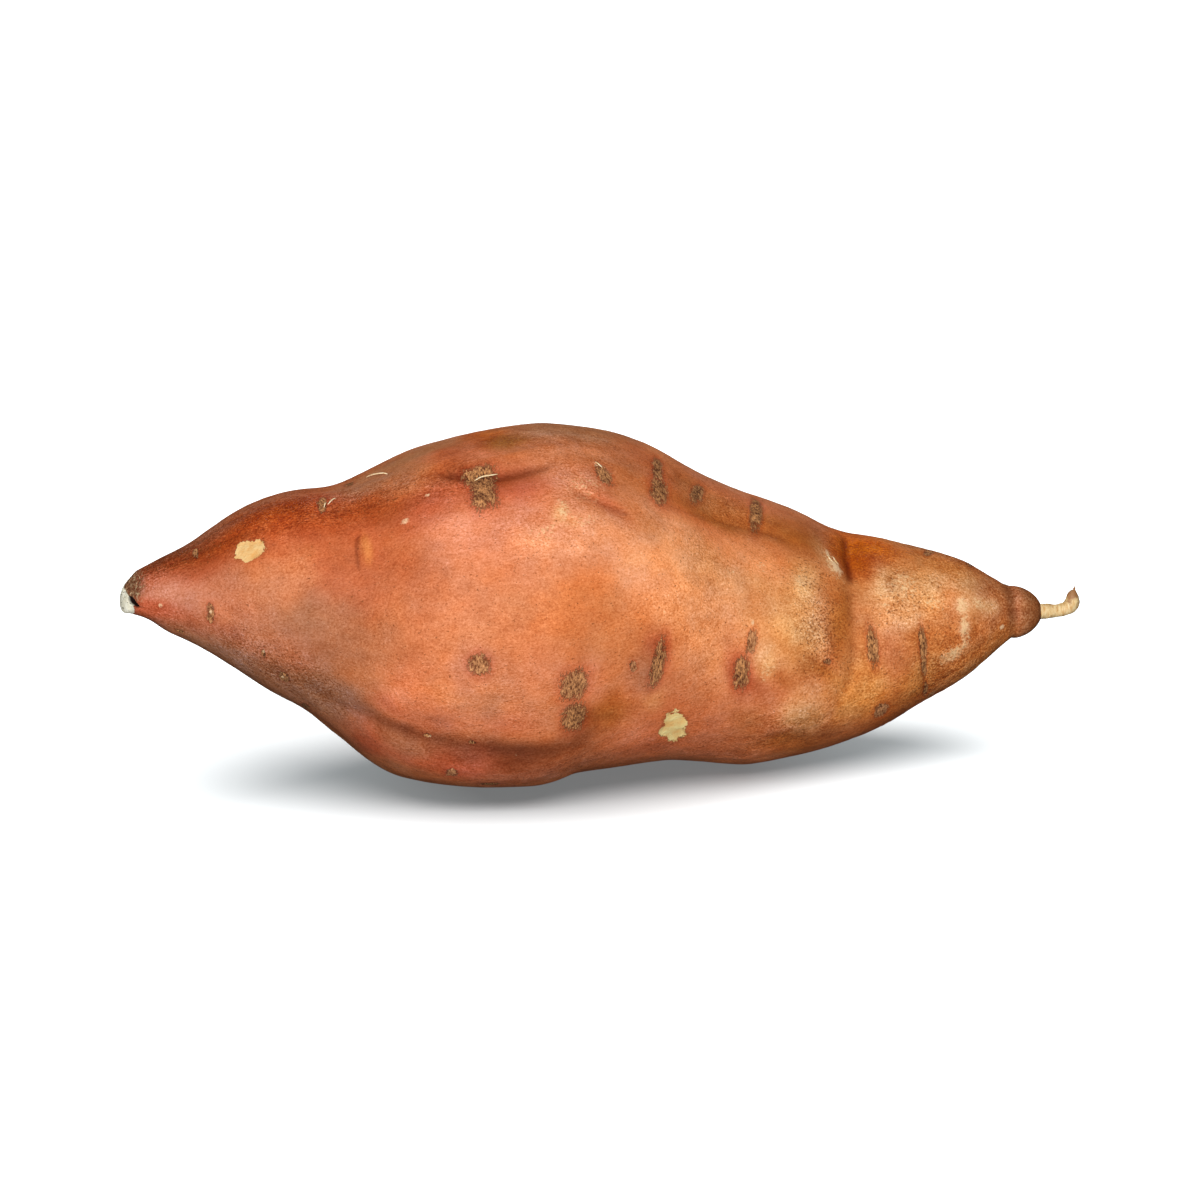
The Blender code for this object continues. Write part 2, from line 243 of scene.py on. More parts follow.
# Washes of colour, painted one over the other:
# colour, place, angle, reach along, reach round, strength, and a slant if there is one.
WASHES = (
    # the whole length, front and back
    (MAUVE, 34, 5, 17, 13, 0.95), (ROSE, 9, 10, 15, 7, 1), (RUST_AND_SHADE, 36, 48, 16, 7, 0.35),
    (BASE, 62, 15, 12, 14, 0.8), (DULL, 56, 88, 12, 9, 0.7), (PINK, 72, 44, 16, 9, 0.9),
    (PALE_PINK, 87, 36, 12, 6, 0.85, -6), (ORANGE, 88, 9, 15, 8, 0.75),
    (PEACH, 113, 24, 17, 13, 0.9, -6), (CORAL, 113, -42, 26, 12, 0.6), (CORAL, 56, -16, 8, 7, 0.6),
    (PEACH, 118, 0, 9, 7, 0.45), (ORANGE, 130, 47, 13, 7, 0.4), (PALE, 131, 22, 9, 10, 0.8, 20),
    # the stem end
    (RED_BROWN, 12, 78, 17, 5.6, 1), (RED, 9, -36, 13, 4.5, 0.85), (RED, 14, 45, 10, 3, 0.5),
    (RED, 18, -50, 10, 4, 0.5), (GREY, 11, 100, 14, 4, 0.5),
    # left of the middle
    # the rust along the top of this half is partly real colour, partly painted shade
    (RUST_AND_SHADE, 33, 76, 17, 7.2, 1), (RUST_AND_SHADE, 25, 66, 9, 4, 0.8), (RED, 45, 54, 10, 4, 0.6),
    (RED, 41, 78, 6, 3.5, 0.5), (RUST_AND_SHADE, 45, 64, 8, 3, 0.8), (DULL, 47, 84, 6, 4, 0.6),
    (GREY, 30, -42, 14, 8, 0.9), (GREY, 40, -33, 10, 6, 0.7), (RED, 21, -24, 6, 3, 0.5),
    (RED, 47.5, -50, 4.5, 7, 0.75), (CORAL, 46.5, -43, 2.5, 4, 0.6), (RED, 33, -23, 4, 2.5, 0.35),
    # the dark washes low on the front follow the valley: painted shade
    (PINK, 22, 2, 7, 5, 0.4), (VALLEY_SHADE, 44, -31, 8, 2.6, 0.5), (VALLEY_SHADE, 56, -34, 12, 3.6, 0.85, -4),
    (VALLEY_SHADE, 74, -39, 14, 3.6, 1), (RED_BROWN, 66, -42, 10, 3.2, 0.6), (EMBER, 50, 32, 7, 6, 0.55),
    (EMBER, 43, 36, 7, 11, 0.6), (BASE, 30, 32, 7, 8, 0.75), (DUST, 20, -46, 10, 5, 0.7),
    (DUST, 32, -62, 10, 5, 0.5), (SALMON, 54, -20, 6, 4, 0.75), (SALMON, 67, -21, 8, 5.5, 0.55),
    (SALMON, 80, -8, 8, 7, 0.4), (BASE, 62, -48, 10, 3.5, 0.4), (PINK, 75, -52, 14, 5, 0.35),
    # the shoulder on top
    (RED, 63, 55, 6, 4, 0.4), (RED, 79, 57, 8, 3, 0.6), (CORAL, 72, 77, 8, 4, 0.5),
    (RUST_AND_SHADE, 66, 71, 5, 3, 0.6), (OLIVE, 76, 83, 4.5, 3, 0.9, 10), (AMBER, 72.5, 92, 4, 3.5, 0.6),
    (RED, 72, 95, 3, 3.5, 0.5), (DULL, 92, 90, 14, 9.5, 0.95), (DULL, 60, 96, 9, 6, 0.7),
    (PALE_PINK, 92, 68, 9, 3.4, 0.7), (PINK, 90, 56, 5, 5, 0.8), (WARM, 115, 50, 9, 5, 0.65),
    (PEACH, 127, 45, 9, 5.5, 0.55), (HONEY, 139, 42, 4, 5, 0.6), (RUST_AND_SHADE, 62, 62, 8, 4, 0.45),
    (RUST_AND_SHADE, 76, 62, 6, 2.5, 0.5), (BROWN, 93, 66, 7, 1.5, 0.4), (RED, 95, 48, 6, 2.4, 0.6, -38),
    (RED, 108, 62, 4, 8, 0.55), (BROWN, 118, 58, 16, 2.6, 0.6, 6), (CORAL, 122, 80, 14, 6, 0.45),
    (PEACH, 113, 86, 4, 5, 0.5), (PALE_PINK, 126, 95, 15, 7, 0.45), (BROWN, 135, 62, 8, 5, 0.5),
    # pale marks in the middle
    (CREAM, 85.6, 44, 2, 2, 0.75), (CREAM, 88, 41, 2.5, 1.4, 0.45), (PALE_PINK, 82, 37, 3, 2.5, 0.5),
    (PALE_PINK, 100, 25, 6, 4, 0.5), (BASE, 91, 45, 3, 3, 0.4), (RED, 66, -1, 3, 3.5, 0.25),
    (RED, 103.6, -6, 3.4, 7, 0.5), (BROWN, 99, -28, 6, 5, 0.5), (BROWN, 93, -25, 5, 6, 0.45),
    (VALLEY_SHADE, 89, -32, 4, 4, 0.4), (RED, 104, -48, 9, 5, 0.3), (PALE, 104.5, -22, 2.5, 3, 0.45),
    (CORAL, 102, -40, 5, 4, 0.7),
    # right of the middle
    (RED, 122.6, -4, 3.2, 6, 0.6), (PALE, 128.5, -3, 2.2, 3.5, 0.9, -30),
    (CREAM, 128, 2, 3, 4, 0.35, -20), (CREAM, 138, 36, 2, 5, 0.6, -20), (PALE, 135, 29, 3, 4, 0.6),
    (CREAM, 133.5, 15, 3, 3, 0.5), (HONEY, 136, 10, 5, 6, 0.7), (BROWN, 145, 16, 2.8, 7, 0.85),
    (BROWN, 141, -3, 5.5, 1.8, 0.85, -35), (BROWN, 147, 30, 1.8, 8, 0.75),
    # the pale washes near place 138, angle -19 to -27, are partly a real pale patch, partly painted
    # light on a bump
    (BROWN, 133, -8, 5, 1.6, 0.5, -30), (HONEY, 149, -16, 7, 7, 0.9), (PEACH, 138, -26, 4.6, 4.6, 1),
    (BROWN, 135, -41, 8, 3.4, 0.85, 6), (VALLEY_SHADE, 140, -42, 6, 2, 0.6, 4), (BROWN, 126, -28, 5, 4, 0.5),
    (CREAM, 144.6, 55, 2.4, 4.4, 0.3, 4), (PALE, 143, 62, 2, 4, 0.5), (HONEY, 165, 66, 8, 4, 0.5),
    (AMBER, 154.5, 75, 6.8, 9.5, 1), (AMBER, 151, 62, 2.6, 5.5, 1), (RUST_AND_SHADE, 154, 64, 4, 2.5, 0.6),
    (AMBER, 149.5, 46, 1.5, 4, 0.8), (TAN, 151, 20, 4, 5, 0.4), (PALE, 160, 38, 9.5, 7.6, 0.95),
    (CREAM, 155.5, 46, 3, 3.5, 0.6), (CREAM, 165, 42, 4, 6, 0.45), (TAN, 159, 56, 4, 2, 0.35),
    # the tail
    (BROWN, 163, -40, 15, 7, 0.85), (HONEY, 176, -34, 5, 5, 0.5), (TAN, 167, 0, 10, 5, 0.6),
    (BROWN, 164, -22, 5, 4, 0.5), (PALE, 175, 28, 4.5, 3.2, 0.85),
    (WHITISH, 172.2, 27, 1.5, 2.2, 0.4), (WHITISH, 172.4, 8, 1.4, 1.8, 0.4),
    (CREAM, 170, -15, 3, 1.5, 0.4, 10), (BROWN, 174.5, 8, 0.8, 4, 0.55), (TAN, 168, 76, 10, 5, 0.55),
    (DULL, 172, 98, 9, 3.5, 0.7), (DULL, 179, 60, 4, 4, 0.6), (CREAM, 178.5, 24, 2.2, 1.6, 0.5),
    (BROWN, 181.5, 0, 2.2, 30, 0.55), (BROWN, 180, -40, 4, 4, 0.6), (NUB, 188, 0, 3.5, 60, 1),
    (NUB_DARK, 183.4, 0, 1.2, 60, 0.85), (NUB_DARK, 190.2, 0, 0.5, 60, 0.8),
    (NUB_PALE, 186.2, 0, 1.1, 5, 0.8),
    # between the zones
    (RED, 9, 64, 9, 3.5, 0.4), (RED, 7, -14, 6, 2, 0.35), (RUST_AND_SHADE, 18, 57, 8, 3.5, 0.4),
    (VERMILION, 30, 57, 8, 5, 0.6), (VERMILION, 42, 80, 5, 3.5, 0.5), (VERMILION, 42, 56, 6, 5, 0.5),
    (EMBER, 42, 18, 6, 12, 0.35), (EMBER, 54, 53, 6, 5, 0.55), (EMBER, 54, 22, 6, 10, 0.35),
    (PINK, 30, -15, 7, 5, 0.4), (DULL, 18, -56, 10, 3, 0.6), (RED, 66, 60, 5, 3, 0.3),
    (ORANGE, 66, 2, 6, 5, 0.4), (RUST_AND_SHADE, 78, 80, 5, 2.5, 0.5), (RED, 78, 63, 6, 4, 0.4),
    (PALE_PINK, 90, 54, 5, 5, 0.6), (SALMON, 91, -12, 3.5, 4, 0.6), (BROWN, 101, -4, 4, 5, 0.4),
    (SALMON, 101, -36, 5, 5, 0.5), (RED, 124, -8, 3.2, 5, 0.5), (PEACH, 137.5, -22, 4.6, 4, 0.7),
    (BROWN, 138, -2, 3, 2.5, 0.4), (AMBER, 150.5, 62, 3, 5, 0.9), (HONEY, 150, -26, 6, 6, 0.5),
    (PALE, 162, 20, 4, 2.5, 0.5), (HONEY, 161, -24, 4, 5, 0.5), (CREAM, 174, 50, 4, 3, 0.6),
    (HONEY, 173, 68, 6, 4, 0.5), (HONEY, 174, -44, 7, 4, 0.5),
    # smaller patches
    (CRIMSON, 62, 56, 7, 5, 0.6), (CRIMSON, 43, 40, 6, 8, 0.45), (CRIMSON, 79, 54, 5, 3, 0.5),
    (CRIMSON, 74, -27, 6, 3, 0.4), (RED, 6, -18, 5, 2.6, 0.6), (RED_BROWN, 67, 68, 3.4, 2, 0.5, -10),
    (RED_BROWN, 77, 63, 5, 1.6, 0.5, 8), (RUST_AND_SHADE, 30, 69, 11, 6, 0.5), (RUST_AND_SHADE, 44, 66, 10, 6, 0.5),
    (RED_BROWN, 8, 76, 9, 5, 0.6), (RED_BROWN, 16, 70, 8, 4, 0.4), (RUST_AND_SHADE, 12, 52, 9, 3, 0.3),
    (RUST_AND_SHADE, 54, 61, 6, 3.5, 0.45), (GREY, 38, 7, 6, 4, 0.7), (MAUVE, 46, 12, 8, 9, 0.35),
    (EMBER, 54, 33, 4, 4, 0.4), (GREY, 31, -15, 8, 6, 0.45), (DUST, 47, 84, 7, 4, 0.5),
    (RUST_AND_SHADE, 45.2, 44, 0.7, 3.6, 0.6), (HONEY, 47.1, 43.5, 1, 3.2, 0.85), (RED, 46.5, -47, 3.4, 7, 0.9),
    (ROSE, 45, -42, 1.6, 3, 0.4), (CORAL, 52.5, -22, 3, 3, 0.8), (RED, 52.5, -23.5, 1.4, 1.4, 0.5),
    (RED, 60, -27, 5, 2.2, 0.4), (MAUVE, 71, -20, 3, 4, 0.5), (PEACH, 62, -12, 7, 4, 0.45),
    (RED, 60, -46, 12, 3.6, 0.65), (RED_BROWN, 80, -46, 10, 3.4, 0.45), (VALLEY_SHADE, 84, -36, 7, 2.6, 0.5),
    (AMBER, 75, 90, 4.5, 6, 0.6), (RUST_AND_SHADE, 72, 84, 3, 3, 0.5), (OLIVE, 79, 80, 4, 2, 0.7),
    (VERMILION, 64, 82, 3, 4, 0.35), (SALMON, 66, 47, 6, 4, 0.6), (PALE_PINK, 82, 38, 4, 2.6, 0.8),
    (PALE_PINK, 91, 41, 5, 2.6, 0.8, -20), (PEACH, 101, 24, 5, 4, 0.8), (DULL, 104, 40, 4, 4, 0.35),
    (ORANGE, 90, 14, 5, 4, 0.5), (BROWN, 73, 18, 4, 3, 0.2), (ORANGE, 127, 22, 3, 4, 0.5),
    (TAN, 117, 36, 4, 3, 0.35), (RED, 103, 0, 2.2, 2.6, 0.6), (RED, 106.5, -2, 1.2, 4, 0.5),
    (BROWN, 95.5, -26, 4, 5, 0.6), (RED_BROWN, 90.5, -29, 2.5, 3, 0.35),
    (RUST_AND_SHADE, 126.5, -12, 3.2, 2, 0.55), (RUST_AND_SHADE, 121, -9, 1.2, 3, 0.4), (BROWN, 138, 61, 6, 3.6, 0.6),
    (BROWN, 120, 55, 6, 1.6, 0.4, 6), (TAN, 145, 33, 3, 8, 0.5), (RED_BROWN, 149.4, 50, 0.9, 4, 0.5),
    (RUST_AND_SHADE, 153, 62, 3.6, 2, 0.6), (BROWN, 156.6, 45, 0.9, 2.2, 0.5),
    (OLIVE, 157.5, 49, 0.8, 1.4, 0.4), (MAUVE, 103, 66, 4, 3, 0.4), (BROWN, 162, 9, 3, 2, 0.5),
    (BROWN, 162, 42, 2, 2, 0.35), (BROWN, 175, -28, 4, 3, 0.6), (RED_BROWN, 138, -50, 9, 3, 0.45),
    (EMBER, 43, 48, 6, 12, 0.35), (MAUVE, 43, 4, 5, 7, 0.3), (EMBER, 66, 56, 5, 5, 0.3),
    (PINK, 66, -5, 4, 5, 0.5), (RED, 66, -42, 6, 3, 0.35), (RUST_AND_SHADE, 78, 72, 5, 6, 0.2),
    (PINK, 78, -50, 8, 3, 0.4), (ORANGE, 90, 10, 4, 4, 0.5), (SALMON, 91, -15, 3.5, 4, 0.35),
    (BROWN, 102, 61, 4, 3.5, 0.3), (PALE_PINK, 102, 21, 5, 3, 0.5), (BASE, 102, -12, 3, 5, 0.5),
    (TAN, 118, 70, 10, 5, 0.3), (BROWN, 128, 70, 8, 4, 0.25), (OLIVE, 139, 70, 6, 5, 0.35),
    (ORANGE, 113, 58, 8, 4, 0.35), (PEACH, 113, 36, 6, 6, 0.5), (PALE, 116, 28, 8, 5, 0.35),
    (BROWN, 126, 18, 4, 3, 0.2), (CREAM, 138, 12, 4, 5, 0.55), (CREAM, 139, 33, 3, 7, 0.35),
    (RED, 126, -10, 4, 4, 0.25), (BROWN, 138, 0, 3, 2.5, 0.25), (HONEY, 150, -4, 4, 6, 0.45),
    (CREAM, 151, 44, 3.5, 4, 0.35), (RUST_AND_SHADE, 151, 60, 3, 4, 0.45), (AMBER, 150, 80, 5, 6, 0.35),
    (TAN, 162, 40, 3, 3, 0.25), (PALE, 174, 19, 3, 3.5, 0.4), (WARM, 138, -27, 5, 5, 0.5),
    (HONEY, 162, -19, 5, 3, 0.4), (ORANGE, 173, -46, 9, 5, 0.55), (ORANGE, 163, -50, 7, 3, 0.35),
    (ORANGE, 126, -38, 8, 6, 0.3), (TAN, 139, -52, 8, 4, 0.4), (DUST, 32, -50, 10, 4, 0.4),
    (DUST, 43, -29, 7, 3.5, 0.4), (CRIMSON, 54, -43, 5, 3, 0.4), (CRIMSON, 50, -21, 3, 2.5, 0.5),
    (SALMON, 30, -18, 6, 4, 0.3), (ROSE, 6, 29, 4, 3, 0.6), (RED, 6, -15, 4, 1.6, 0.5),
    (RUST_AND_SHADE, 31, 70, 8, 4, 0.3), (RUST_AND_SHADE, 42, 62, 6, 6, 0.3), (EMBER, 42, 36, 5, 9, 0.4),
    (MAUVE, 42, 6, 5, 6, 0.35), (RUST_AND_SHADE, 66, 80, 4, 4, 0.25), (RUST_AND_SHADE, 66, 61, 4, 3, 0.2),
    (ROSE, 66, -5, 5, 6, 0.45), (CRIMSON, 66, -44, 6, 4, 0.45), (OLIVE, 78, 80, 4, 5, 0.3),
    (ROSE, 84, 42, 7, 5, 0.35), (BASE, 90, 9, 4, 5, 0.4), (SALMON, 91, -18, 3.5, 3, 0.3),
    (ROSE, 102, -12, 3, 5, 0.5), (PALE_PINK, 102, 19, 4, 3, 0.4), (TAN, 116, 66, 9, 6, 0.25),
    (TAN, 128, 68, 8, 5, 0.25), (TAN, 138, 20, 3, 4, 0.4), (BROWN, 138, 0, 3, 4, 0.3),
    # pale washes near place 138, angle -23: partly real, partly painted light on a bump
    (PALE, 138, -23, 4, 4.5, 0.6), (AMBER, 150.5, 64, 3.5, 7, 0.4), (RUST_AND_SHADE, 150, 60, 2.5, 3, 0.3),
    (TAN, 150, 40, 3, 4, 0.35), (BROWN, 150, 14, 3, 5, 0.2), (TAN, 174, 44, 4, 3, 0.3),
    (BROWN, 174.5, 8, 3, 3, 0.25), (ORANGE, 174, -46, 8, 5, 0.45), (RUST_AND_SHADE, 30, 69, 7, 4, 0.3),
    (RED, 6, -14, 4, 2.4, 0.4), (RED, 6, 42, 3, 2, 0.35), (CRIMSON, 66, -46, 5, 3, 0.3),
    (DUST, 102, -11, 2.6, 4, 0.5), (SALMON, 138, -19, 3, 3, 0.5), (RUST_AND_SHADE, 151, 60, 3.5, 3, 0.35),
    (MAUVE, 42, 40, 4, 5, 0.35), (SALMON, 54, -19, 4, 4, 0.4), (MAUVE, 54, -40, 3, 3, 0.3),
    (GREY, 27, 93, 13, 4, 0.5), (PALE, 162, 93, 6, 3.5, 0.4), (BROWN, 176, 86, 4, 3, 0.5),
    (AMBER, 150, 86, 4, 5, 0.3), (OLIVE, 78, 81, 5, 4, 0.3), (RUST_AND_SHADE, 66, 81, 3, 3, 0.25),
    (EMBER, 42, 52, 5, 15, 0.3), (EMBER, 54, 55, 4, 5, 0.25), (DUST, 66, 0, 4, 4, 0.3),
    (VALLEY_SHADE, 66, -39, 5, 2.5, 0.5), (GREY, 54, -40, 4, 2.5, 0.5), (RUST_AND_SHADE, 90, 10, 4, 4, 0.15),
    (MAUVE, 102, -10, 3, 5, 0.35), (PALE, 138, -24, 4.5, 6, 0.8), (RED, 5, -14, 3, 2.5, 0.5),
    (RED_BROWN, 5, -50, 4, 2, 0.5), (AMBER, 150.5, 60, 3, 3, 0.4), (HONEY, 174, -46, 7, 5, 0.4),
    (DUST, 24, -52, 9, 3, 0.4), (PINK, 60, -26, 9, 3, 0.4), (PINK, 76, -24, 8, 3, 0.35, -4),
    (GREY, 42, -38, 7, 5, 0.4), (GREY, 33, -44, 6, 4, 0.35),
    # the back
    (PINK, 64, 175, 22, 16, 0.7), (PEACH, 101, 165, 20, 14, 0.7), (ORANGE, 134, 200, 16, 13, 0.7),
    (ROSE, 12, 190, 14, 7, 0.8), (MAUVE, 34, 185, 14, 10, 0.8), (RUST_AND_SHADE, 40, 118, 18, 8, 0.7),
    (GREY, 46, 244, 20, 10, 0.7), (BROWN, 78, 205, 12, 5, 0.6), (CORAL, 98, 225, 22, 9, 0.55),
    (DULL, 90, 112, 22, 9, 0.6), (PALE, 158, 150, 12, 9, 0.8), (CREAM, 128, 165, 6, 5, 0.6, 20),
    (AMBER, 149, 195, 4, 10, 0.6), (BROWN, 165, 222, 16, 8, 0.75), (PALE_PINK, 82, 160, 5, 4, 0.6),
    (RED, 118, 203, 4, 6, 0.5),
    # the underside
    (GREY, 24, 275, 16, 8, 0.6), (DULL, 72, 272, 26, 14, 0.6), (ORANGE, 120, 272, 26, 12, 0.5),
    (BROWN, 150, 270, 14, 10, 0.6),
)

# Chalky, broken-up patches: place, angle, reach along, reach round, strength, and a slant
# if there is one.
CHALKY = (
    (145.2, 54, 1.9, 4.4, 0.68, 6), (143, 59, 1.8, 2.4, 0.25), (172.2, 27, 1.8, 2.4, 0.8),
    (172.6, 14, 1.2, 2, 0.6), (172.4, 6, 1.6, 2.2, 0.85), (169.8, -15, 3.2, 1.6, 0.75, 10),
    (172.6, -8, 1.4, 1.8, 0.7), (176.4, 28, 2, 2.2, 0.6), (160, 44, 4, 4, 0.55), (166, 30, 3, 3, 0.5),
    (155, 36, 2, 4, 0.4), (82, 39, 3.6, 2.4, 0.4), (90, 40, 4, 2.4, 0.4, -20), (92, 55, 5, 3.6, 0.42),
    (122.4, 33, 1.2, 1.6, 0.45), (166, -54, 1.2, 2.6, 0.6), (137.8, 38, 1.8, 4, 0.4, -20),
    (129, 42, 1.4, 2, 0.4), (129, -4, 2, 3.6, 0.45, -30), (86.2, 45, 2.4, 3.2, 0.6),
    (92, 49, 3.4, 2.2, 0.35, -30), (80, 36, 3, 1.8, 0.35), (104, 60, 2.4, 3, 0.25),
    (124, 18, 3, 4, 0.25), (120, 172, 3, 5, 0.5, 10), (158, 148, 4, 5, 0.6), (84, 158, 3, 4, 0.45),
    (172, 200, 2, 4, 0.7),
)

# Where the skin is freckled: place, angle, reach along, reach round, strength.
FRECKLED = (
    (142, 16, 7, 12, 0.7), (140, 40, 6, 6, 0.6), (133, -42, 12, 5, 0.5), (34, -35, 16, 9, 0.7),
    (165, -20, 12, 12, 0.5), (160, 35, 10, 9, 0.5), (50, 72, 14, 8, 0.5), (68, 62, 10, 6, 0.4),
    (12, 78, 14, 6, 0.7), (140, 190, 14, 14, 0.8), (40, 230, 18, 12, 0.7), (60, 130, 16, 12, 0.5),
)

# How strongly the skin is textured: place, angle, reach along, reach round, strength.
EVEN_SKIN = 0.36
RUGGED = (
    (75, 42, 16, 9, 0.45), (54, -18, 16, 10, 0.5), (118, 34, 16, 11, 0.5), (78, -15, 14, 10, 0.52),
    (10, 75, 16, 6, 0.95), (12, -30, 12, 6, 0.65), (36, 74, 24, 9, 1.1), (30, -38, 20, 10, 0.8),
    (65, 66, 14, 7, 0.85), (88, 84, 26, 9, 0.7), (92, 55, 10, 8, 0.6), (120, 68, 22, 9, 0.7),
    (60, -38, 22, 8, 0.6), (80, -50, 26, 9, 0.65), (118, -48, 30, 9, 0.65), (112, 10, 20, 16, 0.5),
    (140, 18, 9, 15, 0.7), (137, -35, 16, 9, 0.85), (150, -20, 12, 12, 0.7), (152, 70, 10, 9, 0.8),
    (162, 30, 18, 14, 0.65), (170, -35, 20, 12, 1), (172, 80, 14, 8, 0.8), (184, 0, 8, 60, 0.8),
    (45, 125, 26, 12, 0.8), (90, 225, 30, 12, 0.7), (140, 200, 18, 18, 0.9), (165, 180, 18, 18, 0.8),
    (110, 120, 26, 10, 0.7), (30, 220, 24, 14, 0.7), (95, 272, 60, 16, 0.75),
)

# Straw and root hairs lying on the skin: (place, angle, lift) points.
HAIRS = (
    ((69.6, 62.6, 0.45), (71.2, 63.2, 0.75), (73, 62.9, 0.8), (74.4, 63.3, 0.5)),
    ((41.5, 72.8, 0.2), (42.2, 74.6, 0.45), (43, 76.8, 0.4), (43.4, 77.8, 0.1)),
    ((50.6, 91, 0.2), (51.8, 88.2, 0.6), (53.5, 85.6, 0.5), (54.3, 84.6, 0.1)),
    ((40.6, 70.6, 0.1), (40.9, 72.4, 0.5), (41.3, 74, 0.2)),
    ((95, 65.6, 0.1), (95.4, 64, 0.6), (96.3, 63, 0.2)),
    ((144.2, 60.6, 0.1), (145, 57.2, 0.4), (146.3, 53.4, 0.4), (147.3, 50.8, 0.1)),
    ((145.6, 61.8, 0.1), (146.2, 57.8, 0.4), (147.3, 54.2, 0.1)),
    ((79, 190, 0.2), (80.6, 188, 0.7), (82.4, 189, 0.3)),
    ((53.4, 146, 0.2), (54.4, 149, 0.6), (55, 153, 0.2)),
    ((118.6, 204, 0.2), (120.2, 202, 0.5), (121.4, 203, 0.1)),
)


# ------------------------------------------------------------- measuring the solid
def solid_tree():
    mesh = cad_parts[NODE].data
    corners = [vertex.co / MM for vertex in mesh.vertices]
    faces = [tuple(polygon.vertices) for polygon in mesh.polygons]
    return BVHTree.FromPolygons(corners, faces)


def bell(reach):
    """How many steps a Gaussian goes to each side, and its weights, which add up to 1."""
    half = int(3 * reach) + 1
    weights = np.exp(-0.5 * (np.arange(-half, half + 1) / reach) ** 2)
    return half, weights / weights.sum()


def smooth_rows(values, reach):
    """Gaussian smoothing down the rows, with the end rows repeated past the ends."""
    half, weights = bell(reach)
    padded = np.concatenate([values[:1].repeat(half, 0), values, values[-1:].repeat(half, 0)])
    return sum(w * padded[i:i + len(values)] for i, w in enumerate(weights))


def smooth_round(values, reach):
    """Gaussian smoothing round the root, where the last column meets the first."""
    half, weights = bell(reach)
    return sum(w * np.roll(values, i - half, axis=1) for i, w in enumerate(weights))


STEP = 1.0  # between measured sections
PLACES = np.arange(1.0, BODY_LENGTH - 0.5, STEP)
LAST_POSITION = len(PLACES) - 1.001  # just short of the last section
BODY_RING = 40  # a ring round the body has more corners than this
ANGLES = np.arange(COLUMNS) * 360.0 / COLUMNS
CORNERS = np.array([vertex.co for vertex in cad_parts[NODE].data.vertices]) / MM


def centre_line():
    """The middle of each section of the solid, as (y, z) at every one of PLACES."""
    ring_of = np.round(CORNERS[:, 0], 2)
    rings = []
    for ring_x in np.unique(ring_of):
        ring = CORNERS[ring_of == ring_x]
        if len(ring) > BODY_RING:
            middle = (ring.min(axis=0) + ring.max(axis=0)) / 2
            rings.append((ring_x - STEM_X, middle[1], middle[2]))
    rings = np.array(rings)
    middles = [np.interp(PLACES, rings[:, 0], rings[:, k]) for k in (1, 2)]
    return smooth_rows(np.stack(middles, axis=1), 4.0)


def measure_radius(centres):
    """How far the solid reaches from its centre line, by place and angle."""
    tree = solid_tree()
    radius = np.zeros((len(PLACES), COLUMNS))
    ways = [(-math.cos(math.radians(a)), math.sin(math.radians(a))) for a in ANGLES]
    for row, (place, (y, z)) in enumerate(zip(PLACES, centres)):
        start = Vector((place + STEM_X, y, z))
        for column, (way_y, way_z) in enumerate(ways):
            hit = tree.ray_cast(start, Vector((0.0, way_y, way_z)))
            radius[row, column] = hit[3]
    return smooth_round(smooth_rows(radius, 1.6), 2.5)


CENTRES = centre_line()
RADIUS = measure_radius(CENTRES)


def at_place(values, place):
    """Values held at PLACES, read at any place (an array of rows by columns)."""
    position = np.clip((place - PLACES[0]) / STEP, 0, LAST_POSITION)
    row = position.astype(int)
    part = position - row
    if values.ndim == 1:
        return values[row] * (1 - part) + values[row + 1] * part
    column = np.broadcast_to(np.arange(COLUMNS), place.shape)
    return values[row, column] * (1 - part) + values[row + 1, column] * part


def skin_spot(place, angle, lift=0.0):
    """The point of the undented skin at a place and angle, lifted off it by so much."""
    row = float(np.clip((place - PLACES[0]) / STEP, 0, LAST_POSITION))
    low = int(row)
    part = row - low
    column = int(round(angle % 360.0 / 360.0 * COLUMNS)) % COLUMNS
    reach = RADIUS[low, column] * (1 - part) + RADIUS[low + 1, column] * part + lift
    y, z = CENTRES[low] * (1 - part) + CENTRES[low + 1] * part
    turn = math.radians(angle)
    return np.array((place + STEM_X, y - reach * math.cos(turn), z + reach * math.sin(turn)))


# ----------------------------------------------------------------- laying the grid
def grid():
    """Place and share of the full radius for every grid point."""
    cosine = np.cos(np.radians(ANGLES))[None, :]
    slope = TILT * cosine + LEAN * np.sin(np.radians(ANGLES))[None, :]
    share = np.linspace(END_SHARE, 1.0, FACE_ROWS)[:, None]
    middle = 0.75 * math.hypot(TILT, LEAN)
    face_place = middle + share * slope + LIP * (1 - np.sqrt(1 - share**FACE_CURVE))
    face_share = np.broadcast_to(share, face_place.shape)

    nub_start = BODY_LENGTH - NUB_LENGTH
    along = np.linspace(0.0, 1.0, BODY_ROWS + 1)[1:, None]
    body_start = LIP + middle
    straight = body_start + along * (nub_start - body_start)
    body_place = straight + slope * np.exp(-(straight - body_start) / TILT_FADE)
    body_share = np.ones_like(body_place)

    turn = np.linspace(0.0, math.pi / 2, NUB_ROWS + 1)[1:, None]
    nub_place = nub_start + NUB_REACH * np.sin(turn) + 0 * cosine
    nub_share = np.maximum(np.cos(turn) ** NUB_CURVE, END_SHARE) + 0 * cosine

    place = np.concatenate([face_place, body_place, nub_place])
    share = np.concatenate([face_share, body_share, nub_share])
    return place, share


